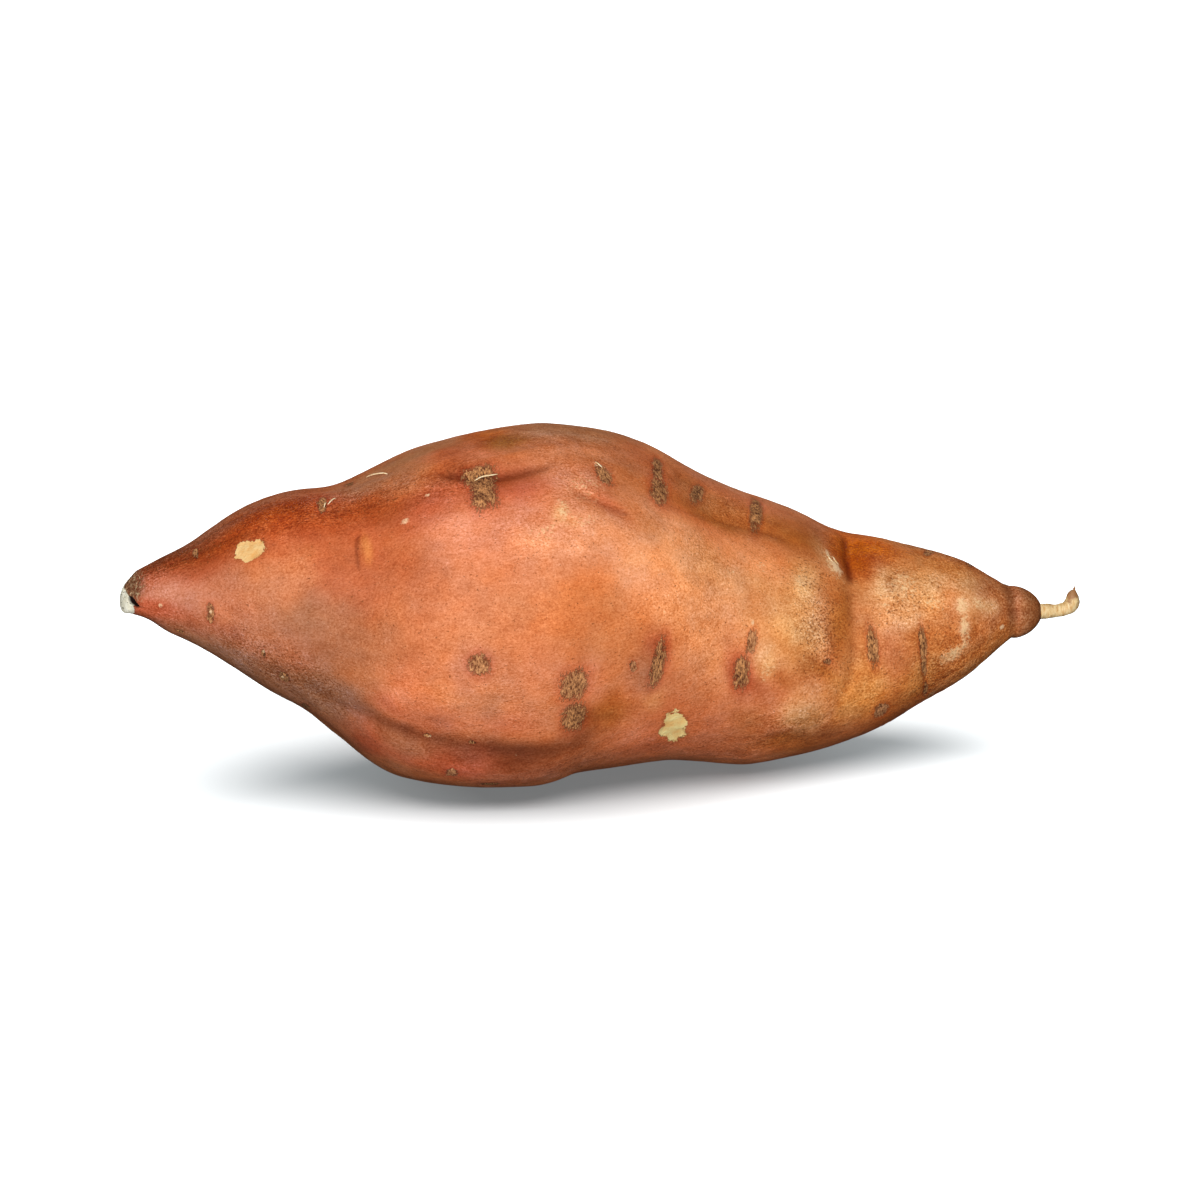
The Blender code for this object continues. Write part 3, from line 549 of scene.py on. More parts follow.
PLACE, SHARE = grid()
ROWS = len(PLACE)
ANGLE = np.broadcast_to(ANGLES, PLACE.shape)
TURN = (ANGLE + 180.0) % 360.0 - 180.0
FLAT_PLACE = np.clip(PLACE, LIP, BODY_LENGTH - NUB_LENGTH)
BASE_RADIUS = at_place(RADIUS, FLAT_PLACE) * SHARE
CENTRE_Y = at_place(CENTRES[:, 0], FLAT_PLACE)
CENTRE_Z = at_place(CENTRES[:, 1], FLAT_PLACE)


def positions(radius, place):
    turn = np.radians(ANGLE)
    y = CENTRE_Y - radius * np.cos(turn)
    z = CENTRE_Z + radius * np.sin(turn)
    return np.stack([place + STEM_X, y, z], axis=-1)


SPOTS = positions(BASE_RADIUS, PLACE)


def lattice_noise(points, seed):
    """Smooth noise from -1 to 1 with features one unit across."""
    points = points + seed * 17.31
    cell = np.floor(points)
    part = points - cell
    part = part * part * (3 - 2 * part)
    total = np.zeros(points.shape[:-1])
    for corner in range(8):
        offset = np.array([(corner >> k) & 1 for k in range(3)])
        spun = np.sin((cell + offset) @ np.array((127.1, 311.7, 74.7))) * 43758.5453
        weight = np.where(offset == 1, part, 1 - part).prod(axis=-1)
        total += weight * (spun - np.floor(spun))
    return total * 2 - 1


def field(size, seed, stretch=1.0, octaves=3):
    """Noise over the skin: features of a size, stretched along the root."""
    total = np.zeros(PLACE.shape)
    for octave in range(octaves):
        scale = size / 2**octave
        squeezed = SPOTS / np.array((scale * stretch, scale, scale))
        total += lattice_noise(squeezed, seed + octave * 3.7) / 2**octave
    return total


WANDER_ALONG = 2.4 * field(8.0, 1.0)
WANDER_ROUND = 2.0 * field(7.0, 2.0, 1.5)
FRAY_ALONG = 0.24 * field(1.7, 3.0, octaves=2)
FRAY_ROUND = 0.40 * field(1.9, 4.0, octaves=2)
WANDERING = 6.0  # washes of this reach and more have fully wandering edges


def local(place, angle, slant=0.0):
    """Millimetres along and round the root from a spot, turned by the slant."""
    turn = (ANGLE - angle + 180.0) % 360.0 - 180.0
    along = PLACE - place
    across = np.radians(turn) * np.maximum(BASE_RADIUS, 1.0)
    tilt = math.radians(slant)
    return (
        along * math.cos(tilt) + across * math.sin(tilt),
        across * math.cos(tilt) - along * math.sin(tilt),
    )


def soft_spot(place, angle, reach_along, reach_round, slant=0.0, wander=0.0):
    """1 at a spot, falling off smoothly all round it."""
    along, across = local(place, angle, slant)
    along = (along + wander * WANDER_ALONG) / reach_along
    across = (across + wander * WANDER_ROUND) / reach_round
    return np.exp(-((along**2 + across**2) ** 1.3))


def patch(spots, spread=1.0):
    """How far inside the nearest of some patches a point is: 0 on the edge, 1 in the middle."""
    inside = np.full(PLACE.shape, OUTSIDE)
    for place, angle, half_along, half_round, slant, squareness, _ in spots:
        along, across = local(place, angle, slant)
        along = np.abs(along + FRAY_ALONG) / half_along
        across = np.abs(across + FRAY_ROUND) / half_round
        away = (along**squareness + across**squareness) ** (1 / squareness) / spread
        inside = np.maximum(inside, 1 - away)
    return inside


def smooth_path(points, steps):
    """A smooth run of points through the given ones."""
    points = np.array(points, dtype=float)
    padded = np.concatenate([[2 * points[0] - points[1]], points, [2 * points[-1] - points[-2]]])
    run = []
    for i in range(len(points) - 1):
        a, b, c, d = padded[i:i + 4]
        for t in np.arange(steps) / steps:
            bend = (2 * a - 5 * b + 4 * c - d) * t**2 + (3 * b - a - 3 * c + d) * t**3
            run.append(0.5 * (2 * b + (c - a) * t + bend))
    run.append(points[-1])
    return np.array(run)


def strongest(rows, start=0.0, wander=0.0):
    """At every grid point the strongest of some soft spots, or the start value.

    A row is place, angle, reach along, reach round, strength, and a slant if there is one.
    """
    most = np.full(PLACE.shape, start)
    for place, angle, along, across, strength, *slant in rows:
        weight = soft_spot(place, angle, along, across, *slant, wander=wander)
        most = np.maximum(most, strength * weight)
    return most


def tones(marks, reach):
    """The tone of the marks, carried a little way past their edges."""
    rows = []
    for place, angle, half_along, half_round, slant, _, tone in marks:
        rows.append((place, angle, reach * half_along, reach * half_round, tone, slant))
    return strongest(rows)


def fold_profile(path):
    """Distance of every grid point from a line on the skin, and 0 to 1 along that line."""
    run = smooth_path(path, 8)
    line = np.array([skin_spot(place, angle) for place, angle in run])
    nearest = np.full(PLACE.shape, 1e9)
    share = np.zeros(PLACE.shape)
    for i in range(len(line) - 1):
        way = line[i + 1] - line[i]
        from_start = SPOTS - line[i]
        t = np.clip((from_start @ way) / (way @ way), 0, 1)
        gap = np.linalg.norm(from_start - t[..., None] * way, axis=-1)
        share = np.where(gap < nearest, (i + t) / (len(line) - 1), share)
        nearest = np.minimum(nearest, gap)
    return nearest, share


# --------------------------------------------------------------- shaping the skin
def shape_folds():
    """Change of radius from all folds, and how much painted shade each grid point gets from them."""
    height = np.zeros(PLACE.shape)
    fold_shade = np.zeros(PLACE.shape)
    ragged = 1 + 0.35 * field(3.0, 9.0, octaves=2)
    for depth, half_width, darkness, path in FOLDS:
        away, share = fold_profile(path)
        fade = np.clip(np.sin(np.pi * share) * 2.2, 0, 1) ** 0.7
        profile = np.exp(-((away / half_width) ** 2)) * fade
        height -= depth * profile
        inner = np.exp(-((away / (0.75 * half_width)) ** 2)) * fade * ragged
        fold_shade = np.maximum(fold_shade, darkness * inner)
    return height, fold_shade


def paint():
    """The broad colour of the skin at every grid point."""
    tone = np.broadcast_to(np.array(BASE), PLACE.shape + (4,)).copy()
    for colour, place, angle, along, across, strength, *slant in WASHES:
        wander = min(1.0, along / WANDERING, across / WANDERING)
        weight = strength * soft_spot(place, angle, along, across, *slant, wander=wander)
        tone += weight[..., None] * (np.array(colour) - tone)
    tone[..., :3] *= np.array(WARMTH)
    drift = field(16.0, 5.0) * 0.5 + field(5.0, 6.0, 1.6) * 0.5
    tone[..., :3] *= np.exp(drift[..., None] * np.array(DEEPER))
    sallow = field(9.0, 7.0, 1.3)
    tone[..., :3] *= np.exp(sallow[..., None] * np.array(SALLOW))
    return tone


def stem_cut():
    """Masks of the cut stem end: its pale flesh, and the split in it."""
    forward = BASE_RADIUS * np.cos(np.radians(TURN))
    above = BASE_RADIUS * np.sin(np.radians(TURN)) + CUT_SLOPE * (forward - CUT_PIVOT)
    above -= CUT_DROP
    on_face = np.clip((CUT_DEPTH + 0.35 * field(2.0, 23.0) - PLACE) / CUT_EDGE, -1, 1)
    below = np.clip((CUT_TOP + 0.3 * field(1.6, 24.0) - above) / CUT_EDGE, -1, 1)
    flesh = np.minimum(on_face, below)
    sideways = (forward - SPLIT_FORWARD) / SPLIT_HALF_WIDTH
    upward = (above + 0.12 * FRAY_ROUND) / SPLIT_HALF_HEIGHT
    split = np.where(PLACE < SPLIT_END, 1 - np.hypot(sideways, upward), OUTSIDE)
    return flesh, np.clip(split, OUTSIDE, 1)


def build_shape(cork, peel, fleck, split):
    """The finished grid points, the painted shade of the folds, and where the stem end is fibrous."""
    radius = BASE_RADIUS.copy()
    for place, angle, height, along, across, *slant in RELIEF:
        radius += height * soft_spot(place, angle, along, across, *slant) * SHARE
    folds, fold_shade = shape_folds()
    radius += folds * SHARE
    tail = np.clip((PLACE - TAIL_START) / TAIL_FADE, 0, 1)
    tail *= np.clip((TAIL_END - PLACE) / TAIL_END_FADE, 0, 1)
    radius += SHARE * (0.16 * field(11.0, 11.0, 1.8) + 0.055 * field(3.4, 12.0, 2.4))
    radius += SHARE * 0.05 * tail * field(2.6, 13.0, 0.35)
    radius += SHARE * 0.03 * field(1.3, 14.0, 1.4, octaves=1)
    crust = np.clip(cork / 0.25, 0, 1)
    radius += crust * (CORK_RISE + CORK_ROUGHNESS * field(1.2, 15.0, octaves=2)) * SHARE
    radius -= CORK_RIM * np.exp(-((cork / 0.25) ** 2)) * SHARE
    radius -= PEEL_DEPTH * np.clip(peel / 0.2, 0, 1) * SHARE
    radius += FLECK_RISE * np.clip(fleck / 0.3, 0, 1) * SHARE
    groove_place, groove_width, groove_depth = NUB_GROOVE
    from_groove = PLACE - groove_place + 0.7 * np.sin(np.radians(ANGLE))
    radius -= groove_depth * np.exp(-((from_groove / groove_width) ** 2))

    place = PLACE.copy()
    on_face = np.clip((FIBROUS_END - PLACE) / FIBROUS_FADE, 0, 1)
    upper = np.clip((TURN + 8.0) / 30.0, 0, 1) * np.clip((185.0 - TURN) / 20.0, 0, 1)
    fibrous = on_face * upper
    place += on_face * SHARE * (0.10 * field(1.3, 21.0))
    place += 0.25 * fibrous * field(0.9, 22.0, 2.0)
    depth = np.clip(split / 0.5, 0, 1)
    place += SPLIT_DEPTH * depth * np.clip(1.6 - SHARE, 0, 1)
    radius -= SPLIT_SPREAD * depth * SHARE
    radius = np.maximum(radius, 0.01)
    return positions(radius, place), fold_shade, fibrous


# ------------------------------------------------------------------- making meshes
def add_mask(mesh, name, values):
    mask = mesh.attributes.new(name, "FLOAT", "POINT")
    mask.data.foreach_set("value", np.ascontiguousarray(values, dtype=np.float32).ravel())


MARGIN = 0.004  # of the flat layout, left at both ends
CAP = 0.0015  # how large the two end faces are on it


def unwrap(mesh, spots):
    """Lays the skin out flat: along the root one way, round it the other."""
    steps = np.linalg.norm(np.diff(spots, axis=0), axis=-1).mean(axis=1)
    run = np.concatenate([[0.0], np.cumsum(steps)])
    run = MARGIN + (1 - 2 * MARGIN) * run / run[-1]
    layer = mesh.uv_layers.new(name="OFBake")
    flat = []
    for row in range(ROWS - 1):
        low = run[row]
        high = run[row + 1]
        for column in range(COLUMNS):
            before = column / COLUMNS
            after = (column + 1) / COLUMNS
            flat.extend((low, before, low, after, high, after, high, before))
    for middle in (MARGIN / 2, 1 - MARGIN / 2):
        for column in range(COLUMNS):
            turn = column * math.tau / COLUMNS
            flat.extend((middle + CAP * math.cos(turn), 0.5 + CAP * math.sin(turn)))
    layer.data.foreach_set("uv", flat)


def skin_faces():
    """Four-cornered faces from ring to ring, and one face over each end."""
    ring = np.arange(COLUMNS)
    after = (ring + 1) % COLUMNS
    faces = []
    for row in range(ROWS - 1):
        low = row * COLUMNS
        high = low + COLUMNS
        quads = np.stack([low + ring, low + after, high + after, high + ring], axis=1)
        faces.extend(quads.tolist())
    faces.append(list(range(COLUMNS))[::-1])
    faces.append(list(range((ROWS - 1) * COLUMNS, ROWS * COLUMNS)))
    return faces


def make_skin():
    cork = patch(SCARS, 1.12)
    peel = patch(PEELED)
    fleck = patch(FLECKS)
    flesh, split = stem_cut()
    spots, fold_shade, fibrous = build_shape(cork, peel, fleck, split)
    rugged = smooth_round(smooth_rows(strongest(RUGGED, EVEN_SKIN, 1.0), 3.0), 3.0)
    masks = {
        "cork": cork,
        "cork_tone": tones(SCARS, 1.5),
        "peel": peel,
        "peel_tone": tones(PEELED, 3),
        "fleck": fleck,
        "fold_shade": fold_shade,
        "flesh": flesh,
        "split": split,
        "fibrous": fibrous,
        "freckles": strongest(FRECKLED, 0.15, 0.8),
        "chalk": strongest(CHALKY, 0.0, 0.4),
        "cross": 0.25 * np.clip((PLACE - 140) / 30, 0, 1),
        "rugged": rugged * (1 + 0.18 * field(9.0, 17.0)),
    }
    mesh = bpy.data.meshes.new("skin")
    mesh.from_pydata((spots.reshape(-1, 3) * MM).tolist(), [], skin_faces())
    unwrap(mesh, spots)
    tone = mesh.attributes.new("tone", "FLOAT_COLOR", "POINT")
    tone.data.foreach_set("color", paint().astype(np.float32).ravel())
    for name, values in masks.items():
        add_mask(mesh, name, values)
    mesh.shade_smooth()
    skin = bpy.data.objects.new("skin", mesh)
    bpy.context.scene.collection.objects.link(skin)
    return skin


def tube(path, radii, sides):
    """Corners and faces of a closed tube along a path."""
    path = np.array(path, dtype=float)
    ways = np.gradient(path, axis=0)
    ways /= np.linalg.norm(ways, axis=1)[:, None]
    side = np.cross(ways[0], (0.0, 1.0, 0.0))
    if np.linalg.norm(side) < 0.1:
        side = np.cross(ways[0], (0.0, 0.0, 1.0))
    corners = []
    for point, way, radius in zip(path, ways, radii):
        side = side - way * (side @ way)
        side = side / np.linalg.norm(side)
        other = np.cross(way, side)
        for k in range(sides):
            turn = math.tau * k / sides
            corners.append(point + radius * (side * math.cos(turn) + other * math.sin(turn)))
    faces = []
    for row in range(len(path) - 1):
        for k in range(sides):
            low = row * sides
            after = (k + 1) % sides
            faces.append((low + k, low + after, low + sides + after, low + sides + k))
    faces.append(tuple(range(sides))[::-1])
    last = (len(path) - 1) * sides
    faces.append(tuple(range(last, last + sides)))
    return corners, faces


def join_tubes(name, tubes):
    corners = []
    faces = []
    for tube_corners, tube_faces in tubes:
        base = len(corners)
        corners.extend(tube_corners)
        faces.extend(tuple(base + i for i in face) for face in tube_faces)
    mesh = bpy.data.meshes.new(name)
    mesh.from_pydata((np.array(corners) * MM).tolist(), [], faces)
    mesh.shade_smooth()
    piece = bpy.data.objects.new(name, mesh)
    bpy.context.scene.collection.objects.link(piece)
    return piece


# Rootlet: steps along and up from the middle of the nub's end, and radius.
ROOTLET = (
    (-3, 0, 1.75), (0, 0, 1.6), (1.9, -0.1, 1.42), (3.5, 0, 1.34), (4.8, 0.35, 1.36),
    (5.7, 0.85, 1.58), (6.2, 1.55, 1.62), (6.25, 2.35, 1.38), (6.3, 3.1, 1.15), (6.45, 3.7, 0.8),
    (6.6, 4.1, 0.4),
)
ROOTLET_SIDES = 28
ROOTLET_STRAIGHT = (0.5, 4.0)  # the stretch of the solid, past the body, that sets its middle

# Frayed tip: lean along and outward in degrees, and height.
TUFT = (
    (-30, 10, 0.9), (-12, -25, 1.1), (8, 20, 1.3), (22, -12, 1), (2, -4, 1.4), (-20, 30, 0.8),
    (35, 8, 0.7),
)


def make_rootlet():
    past_body = CORNERS[:, 0] - STEM_X - BODY_LENGTH
    first, last = ROOTLET_STRAIGHT
    beyond = CORNERS[(past_body > first) & (past_body < last)]
    middle = (beyond.min(axis=0) + beyond.max(axis=0)) / 2
    run = smooth_path(ROOTLET, 10)
    path = np.stack([
        STEM_X + BODY_LENGTH - NUB_LENGTH + NUB_REACH + run[:, 0],
        np.full(len(run), middle[1]),
        middle[2] + run[:, 1],
    ], axis=1)
    corners, faces = tube(path, run[:, 2], ROOTLET_SIDES)
    corners = np.array(corners)
    rough = lattice_noise(corners / 0.9, 31.0) + 0.5 * lattice_noise(corners / 0.45, 32.0)
    steps = np.linalg.norm(np.gradient(path, axis=0), axis=1)
    length = np.repeat(np.cumsum(steps), ROOTLET_SIDES)
    ringed = np.sin(length / 0.55 + 1.5 * lattice_noise(corners / 1.5, 33.0))
    centre = np.repeat(path, ROOTLET_SIDES, axis=0)
    corners = centre + (corners - centre) * (1 + 0.055 * rough + 0.03 * ringed)[:, None]
    tubes = [(corners, faces)]
    for lean_along, lean_out, height in TUFT:
        way = np.array((math.sin(math.radians(lean_along)), math.sin(math.radians(lean_out)), 1.0))
        line = [path[-1] + way * (height * t - 0.35) for t in np.linspace(0, 1, 5)]
        tubes.append(tube(line, (0.26, 0.24, 0.18, 0.10, 0.03), 6))
    rootlet = join_tubes("rootlet", tubes)
    run = np.ones(len(rootlet.data.vertices))
    run[:len(length)] = length / length[-1]
    add_mask(rootlet.data, "run", run)
    return rootlet


def make_hairs():
    tubes = []
    for path in HAIRS:
        run = smooth_path(path, 8)
        line = [skin_spot(place, angle, lift) for place, angle, lift in run]
        share = np.linspace(0.0, 1.0, len(run))
        tubes.append(tube(line, 0.09 + 0.06 * np.sin(share * math.pi), 8))
    return join_tubes("hairs", tubes)


# ----------------------------------------------------------------------- materials
class Recipe:
    """A procedural material: every method adds a node and returns its output."""

    def __init__(self, name, roughness, specular):
        self.material = bpy.data.materials.new(name)
        self.material.use_nodes = True
        self.tree = self.material.node_tree
        self.shader = self.tree.nodes["Principled BSDF"]
        self.shader.inputs["Roughness"].default_value = roughness
        self.shader.inputs["Specular IOR Level"].default_value = specular
        self.spot = self.tree.nodes.new("ShaderNodeTexCoord").outputs["Object"]

    def put(self, socket, value):
        if isinstance(value, bpy.types.NodeSocket):
            self.tree.links.new(value, socket)
        else:
            socket.default_value = value

    def mask(self, name, output="Fac"):
        node = self.tree.nodes.new("ShaderNodeAttribute")
        node.attribute_name = name
        return node.outputs[output]

    def noise(self, size, detail=2.0, stretch=(1.0, 1.0, 1.0), roughness=0.55):
        """Noise with features of a size in millimetres, stretched along X, Y and Z."""
        mapping = self.tree.nodes.new("ShaderNodeMapping")
        mapping.inputs["Scale"].default_value = [1 / (size * MM * s) for s in stretch]
        self.tree.links.new(self.spot, mapping.inputs["Vector"])
        node = self.tree.nodes.new("ShaderNodeTexNoise")
        node.inputs["Scale"].default_value = 1.0
        node.inputs["Detail"].default_value = detail
        node.inputs["Roughness"].default_value = roughness
        self.tree.links.new(mapping.outputs["Vector"], node.inputs["Vector"])
        return node.outputs["Fac"]

    def span(self, value, low, high, to_low=0.0, to_high=1.0):
        node = self.tree.nodes.new("ShaderNodeMapRange")
        for name, amount in zip(("Value", "From Min", "From Max", "To Min", "To Max"),
                                (value, low, high, to_low, to_high)):
            self.put(node.inputs[name], amount)
        return node.outputs["Result"]

    def math(self, operation, first, second=0.0):
        node = self.tree.nodes.new("ShaderNodeMath")
        node.operation = operation
        self.put(node.inputs[0], first)
        self.put(node.inputs[1], second)
        return node.outputs["Value"]

    def plus(self, first, second):
        return self.math("ADD", first, second)

    def times(self, first, second):
        return self.math("MULTIPLY", first, second)

    def mix(self, share, first, second, blend="MIX"):
        node = self.tree.nodes.new("ShaderNodeMix")
        node.data_type = "RGBA"
        node.blend_type = blend
        self.put(node.inputs[0], share)
        self.put(node.inputs[6], first)
        self.put(node.inputs[7], second)
        return node.outputs[2]

    def tinted(self, colour, value, dark, light, low=0.3, high=0.7):
        """Multiplies a colour by one running from dark to light as the value rises."""
        factor = self.mix(self.span(value, low, high), dark, light)
        return self.mix(1.0, colour, factor, "MULTIPLY")

    def swing(self, colour, value, red, green, blue):
        """Multiplies a colour by e to the value, with the value weighted for each channel."""
        factor = self.tree.nodes.new("ShaderNodeCombineXYZ")
        for k, weight in enumerate((red, green, blue)):
            self.put(factor.inputs[k], self.math("POWER", math.exp(weight), value))
        return self.mix(1.0, colour, factor.outputs["Vector"], "MULTIPLY")

    def around(self, value, weight):
        """A noise value moved to swing about 0, times a weight."""
        return self.times(self.math("SUBTRACT", value, 0.5), weight)

    def ragged(self, mask, noise, amount, edge=0.12):
        """A patch mask turned crisp, with its edge broken up by noise."""
        return self.span(self.plus(mask, self.around(noise, amount)), 0.0, edge)

    def specks(self, noise, where, few, many, edge):
        """Specks where the noise is over a line, which goes from few to many with a mask."""
        line = self.span(where, 0.0, 1.0, few, many)
        return self.span(self.math("SUBTRACT", noise, line), 0.0, edge)

    def stain_and_shade(self, colour, share, darkening):
        """A share of the colour multiplied by a darker one: painted shade in the folds, real staining
        round the scars.
        """
        return self.mix(share, colour, self.mix(1.0, colour, darkening, "MULTIPLY"))

    def finish(self, colour, height=None, roughness=None):
        self.put(self.shader.inputs["Base Color"], colour)
        if roughness is not None:
            self.put(self.shader.inputs["Roughness"], roughness)
        if height is not None:
            bump = self.tree.nodes.new("ShaderNodeBump")
            bump.inputs["Strength"].default_value = 1.0
            bump.inputs["Distance"].default_value = MM
            self.put(bump.inputs["Height"], height)
            self.tree.links.new(bump.outputs["Normal"], self.shader.inputs["Normal"])
        return self.material


def rgb(red, green, blue):
    return (red, green, blue, 1.0)


def skin_material():
    r = Recipe("sweet_potato_skin", 0.6, 0.2)
    rugged = r.mask("rugged")
    lengthwise = r.noise(0.36, 3.0, (3.0, 1.0, 1.0))
    crosswise = r.noise(0.36, 3.0, (1.0, 3.0, 3.0))
    streak = r.mix(r.mask("cross"), lengthwise, crosswise)
    mottle = r.noise(2.6, 5.0, (1.5, 1.0, 1.0), 0.72)
    cloud = r.noise(9.0, 4.0, (1.4, 1.0, 1.0), 0.6)
    hue = r.noise(4.0, 2.0, (1.2, 1.0, 1.0), 0.5)
    grain = r.noise(0.36, 2.0, (1.2, 1.0, 1.0), 0.7)
    wrinkle = r.noise(0.9, 2.0, (9.0, 1.0, 1.0))

    swing = r.around(streak, 2.0)
    for texture, weight in ((grain, 5.0), (mottle, 2.6), (cloud, 1.2), (wrinkle, 0.6)):
        swing = r.plus(swing, r.around(texture, weight))
    swing = r.times(swing, rugged)
    swing = r.math("MINIMUM", swing, r.times(swing, 0.8))
    colour = r.swing(r.mask("tone", "Color"), swing, 0.62, 1.05, 1.65)
    drift = r.times(r.around(hue, 1.0), r.span(rugged, 0.2, 0.9, 0.8, 1.8))
    colour = r.swing(colour, drift, 0.22, 0.02, -0.36)

    freckles = r.mask("freckles")
    freckle = r.specks(r.noise(0.42, 2.0, (1.4, 1.0, 1.0), 0.6), freckles, 0.68, 0.47, 0.07)
    colour = r.mix(r.times(freckle, 0.70), colour, shade(118, 58, 14))
    glint = r.specks(r.noise(0.8, 2.0, (1.3, 1.0, 1.0), 0.6), freckles, 0.72, 0.62, 0.08)
    colour = r.mix(r.times(glint, 0.12), colour, shade(246, 196, 142))

    broken = r.noise(0.55, 4.0, (1.3, 1.0, 1.0), 0.7)
    chalk = r.mask("chalk")
    dusted = r.span(r.plus(chalk, r.around(broken, 2.4)), 0.42, 0.80, 0.0, 0.8)
    dusted = r.times(dusted, r.span(chalk, 0.0, 0.2, 0.25, 1.0))
    colour = r.mix(dusted, colour, shade(242, 200, 148))

    # painted shade: the colour is darkened along the folds
    fold_shade = r.span(r.plus(r.mask("fold_shade"), r.around(mottle, 0.6)), 0.10, 1.0)
    colour = r.stain_and_shade(colour, fold_shade, rgb(0.46, 0.34, 0.26))

    shred = r.noise(0.38, 3.0, (0.8, 1.5, 2.1), 0.7)
    lump = r.noise(1.3, 3.0, (1.0, 1.3, 1.6), 0.6)
    cork = r.mask("cork")
    halo = r.times(r.span(r.plus(cork, r.around(mottle, 0.8)), -0.6, 0.1), 0.7)
    colour = r.stain_and_shade(colour, halo, rgb(0.82, 0.58, 0.50))
    crumb = r.plus(r.times(shred, 0.7), r.times(lump, 0.3))
    dark_cork = r.mix(r.mask("cork_tone"), shade(122, 62, 22), shade(32, 8, 0))
    pale_cork = r.mix(r.mask("cork_tone"), shade(240, 176, 124), shade(230, 162, 100))
    bark = r.mix(r.span(crumb, 0.41, 0.64), dark_cork, pale_cork)
    cork_mask = r.ragged(cork, crumb, 2.0, 0.30)
    colour = r.mix(r.times(cork_mask, 0.90), colour, bark)

    peel_mask = r.ragged(r.mask("peel"), r.noise(1.5, 4.0, (1.0, 1.0, 1.0), 0.7), 1.3, 0.06)
    rim = r.span(r.mask("peel"), -0.25, 0.0)
    colour = r.mix(r.times(rim, 0.35), colour, shade(150, 78, 38))
    flesh_tone = r.mix(r.span(mottle, 0.40, 0.60), shade(216, 156, 88), shade(230, 186, 128))
    bright_flesh = r.mix(r.span(mottle, 0.40, 0.60), shade(255, 202, 124), shade(255, 232, 160))
    flesh_tone = r.mix(r.mask("peel_tone"), flesh_tone, bright_flesh)
    colour = r.mix(peel_mask, colour, flesh_tone)

    fleck_mask = r.ragged(r.mask("fleck"), shred, 1.8, 0.45)
    colour = r.mix(r.times(fleck_mask, 0.72), colour, shade(244, 208, 164))

    fibre = r.noise(0.42, 3.0, (1.0, 1.8, 1.8), 0.75)
    fringe = r.mix(r.span(fibre, 0.38, 0.54), shade(84, 46, 20), shade(160, 112, 76))
    fringe = r.mix(r.span(fibre, 0.53, 0.66), fringe, shade(232, 206, 164))
    frayed = r.plus(r.mask("fibrous"), r.around(fibre, 1.6))
    colour = r.mix(r.times(r.span(frayed, 0.25, 0.95), 0.9), colour, fringe)
    cut = r.ragged(r.mask("flesh"), shred, 0.9, 0.12)
    cut_tone = r.mix(r.span(mottle, 0.35, 0.65), shade(236, 228, 196), shade(255, 252, 234))
    speck = r.span(r.noise(0.8, 3.0), 0.63, 0.69)
    cut_tone = r.mix(speck, cut_tone, shade(66, 54, 32))
    colour = r.mix(cut, colour, cut_tone)
    # the split is painted almost black: painted shade inside the crack
    split = r.span(r.mask("split"), 0.0, 0.25)
    colour = r.mix(split, colour, shade(24, 8, 4))

    height = r.plus(r.times(streak, 0.10), r.times(grain, 0.12))
    height = r.plus(height, r.times(mottle, 0.30))
    height = r.times(height, r.span(rugged, 0.2, 1.0, 0.45, 1.3))
    height = r.plus(height, r.times(freckle, -0.03))
    crust = r.times(r.times(cork_mask, crumb), 0.4)
    height = r.plus(height, crust)
    height = r.plus(height, r.times(peel_mask, -0.12))
    height = r.plus(height, r.times(r.times(fibre, r.mask("fibrous")), 0.5))
    roughness = r.span(mottle, 0.3, 0.7, 0.66, 0.54)
    roughness = r.plus(roughness, r.times(cork_mask, 0.30))
    return r.finish(colour, height, roughness)


def rootlet_material():
    r = Recipe("rootlet_skin", 0.6, 0.3)
    rings = r.noise(0.5, 3.0, (1.0, 4.0, 4.0), 0.7)
    blotch = r.noise(1.6, 3.0)
    colour = r.mix(r.span(rings, 0.35, 0.65), shade(206, 162, 102), shade(240, 220, 172))
    colour = r.tinted(colour, blotch, rgb(0.88, 0.80, 0.66), rgb(1.05, 1.06, 1.10))
    speck = r.span(r.noise(0.45, 3.0), 0.62, 0.70)
    colour = r.mix(r.times(speck, 0.7), colour, shade(132, 92, 48))
    ends = r.plus(r.mask("run"), r.around(blotch, 0.5))
    colour = r.mix(r.span(ends, 0.80, 0.92, 0.0, 0.85), colour, shade(150, 96, 56))
    colour = r.mix(r.span(ends, 0.16, 0.10, 0.0, 0.6), colour, shade(120, 80, 44))
    height = r.times(r.plus(rings, blotch), 0.10)
    return r.finish(colour, height)


def straw_material():
    r = Recipe("straw", 0.55, 0.3)
    strand = r.noise(0.3, 2.0, (3.0, 1.0, 1.0))
    colour = r.mix(r.span(strand, 0.35, 0.65), shade(214, 176, 120), shade(250, 232, 196))
    return r.finish(colour, r.times(strand, 0.03))


def add_piece(piece, material):
    piece.data.materials.append(material)
    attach(piece, "root")


skin = make_skin()
add_piece(skin, skin_material())
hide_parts(NODE)
rootlet = make_rootlet()
add_piece(rootlet, rootlet_material())
hairs = make_hairs()
add_piece(hairs, straw_material())


# ---------------------------------------------------------------- camera and lights
VIEW_AZIMUTH = -10.5
VIEW_ELEVATION = 15.0
LENS = 400.0
SENSOR = 36.0
FRAME_WIDTH = 243.1
AIM = Vector((-0.35, 0.0, 36.5))
FAR = 20.0  # metres

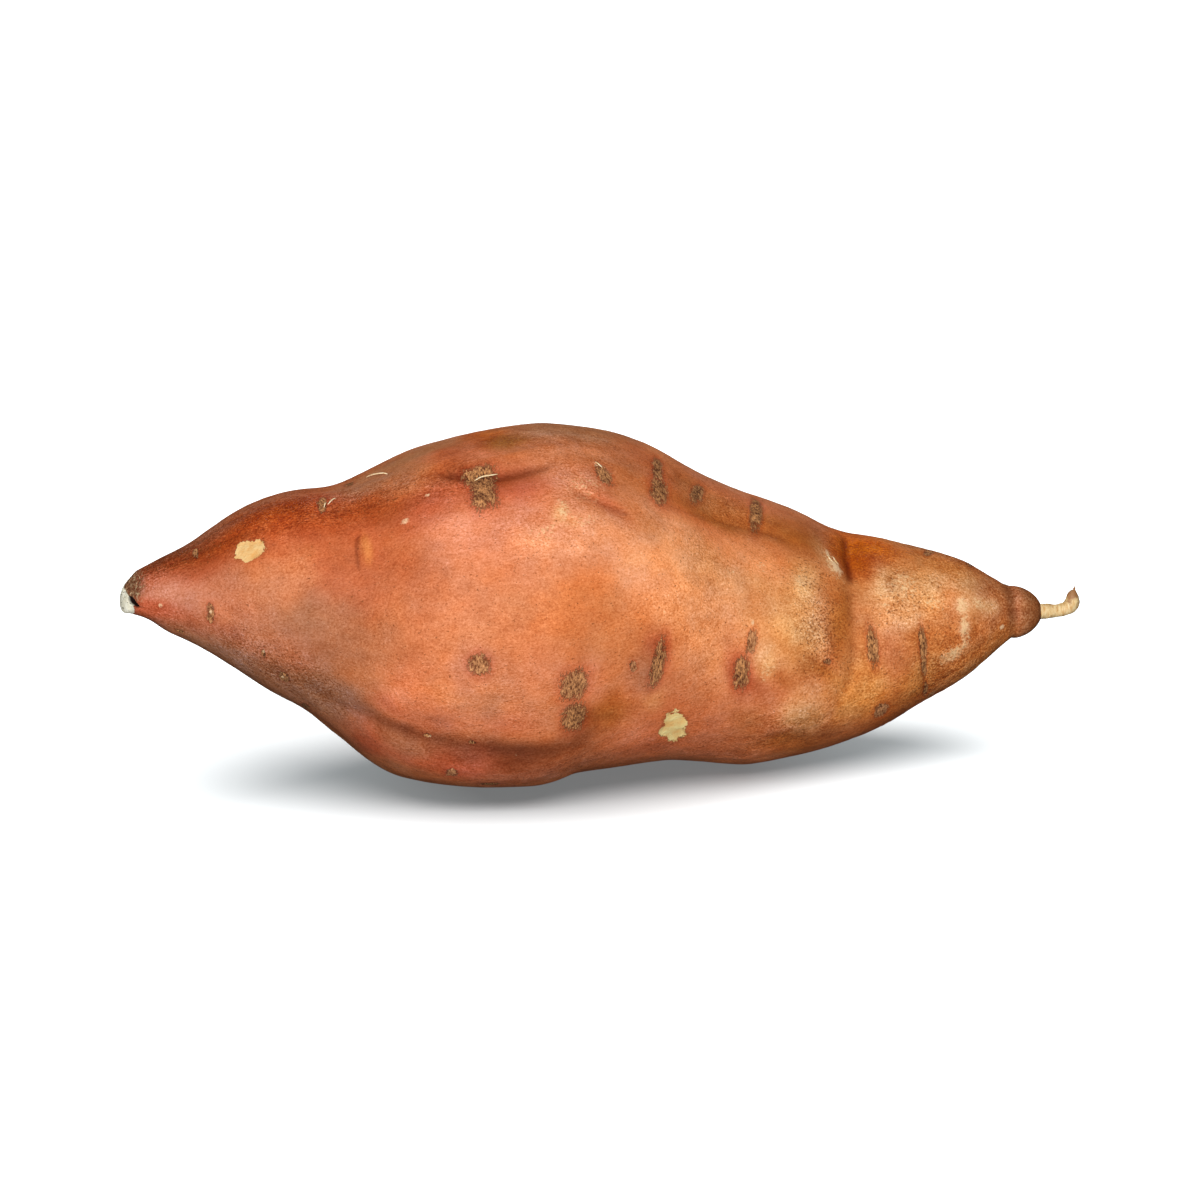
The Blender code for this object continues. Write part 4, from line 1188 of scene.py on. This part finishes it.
# azimuth, elevation, distance, size and power of each lamp, in degrees, metres and watts
KEY = (-14.0, 21.0, 1.6, 0.7, 30.0)
RIM = (172.0, 30.0, 1.6, 0.9, 15.0)
FLOOR_WASH = (0.0, 75.0, 1.6, 2.6, 140.0)
ROOM_LIGHT = 0.125
FLOOR_HALF = 3.0
FLOOR_TONE = 0.35
FLOOR_GLOW = (0.029, 0.146, 0.17, 0.75)  # between two distances in metres, and at each


def direction(azimuth, elevation):
    turn = math.radians(azimuth)
    rise = math.radians(elevation)
    level = math.cos(rise)
    return Vector((math.sin(turn) * level, -math.cos(turn) * level, math.sin(rise)))


def put_facing(name, data, location, back):
    """Puts a camera or a lamp in the scene with its back to a direction."""
    thing = bpy.data.objects.new(name, data)
    bpy.context.scene.collection.objects.link(thing)
    thing.location = location
    thing.rotation_mode = "QUATERNION"
    thing.rotation_quaternion = (-back).to_track_quat("-Z", "Y")
    return thing


def make_camera():
    camera = bpy.data.cameras.new("camera")
    camera.lens = LENS
    camera.sensor_width = SENSOR
    camera.clip_end = FAR
    back = direction(VIEW_AZIMUTH, VIEW_ELEVATION)
    location = (AIM + back * (FRAME_WIDTH * LENS / SENSOR)) * MM
    bpy.context.scene.camera = put_facing("camera", camera, location, back)


def area_light(name, settings):
    azimuth, elevation, distance, size, power = settings
    light = bpy.data.lights.new(name, "AREA")
    light.shape = "DISK"
    light.size = size
    light.energy = power
    back = direction(azimuth, elevation)
    return put_facing(name, light, back * distance, back)


def make_floor():
    mesh = bpy.data.meshes.new("floor")
    corners = [(-1, -1, 0), (1, -1, 0), (1, 1, 0), (-1, 1, 0)]
    mesh.from_pydata([[FLOOR_HALF * v for v in corner] for corner in corners], [], [(0, 1, 2, 3)])
    floor = bpy.data.objects.new("floor", mesh)
    bpy.context.scene.collection.objects.link(floor)
    r = Recipe("white_paper", 0.9, 0.0)
    away = r.tree.nodes.new("ShaderNodeVectorMath")
    away.operation = "LENGTH"
    r.tree.links.new(r.spot, away.inputs[0])
    r.put(r.shader.inputs["Emission Color"], rgb(0.88, 0.97, 1.0))
    glow = r.span(away.outputs["Value"], *FLOOR_GLOW)
    r.put(r.shader.inputs["Emission Strength"], glow)
    floor.data.materials.append(r.finish(rgb(FLOOR_TONE, FLOOR_TONE, FLOOR_TONE)))
    floor.visible_diffuse = False
    floor.visible_glossy = False
    return floor


def shine_only_on(lamp, pieces):
    lit = bpy.data.collections.new("lit_by_" + lamp.name)
    bpy.context.scene.collection.children.link(lit)
    for piece in pieces:
        lit.objects.link(piece)
    lamp.light_linking.receiver_collection = lit


make_camera()
floor = make_floor()
shine_only_on(area_light("key", KEY), (skin, rootlet, hairs))
rim = area_light("rim", RIM)
rim.visible_glossy = False
shine_only_on(rim, (skin, rootlet, hairs))
shine_only_on(area_light("floor_wash", FLOOR_WASH), (floor,))
world = bpy.data.worlds.new("studio")
bpy.context.scene.world = world
world.use_nodes = True
room = world.node_tree.nodes["Background"]
room.inputs["Color"].default_value = rgb(1.0, 1.0, 1.0)
room.inputs["Strength"].default_value = ROOM_LIGHT
world.cycles_visibility.glossy = False
bpy.context.scene.view_settings.view_transform = "Standard"
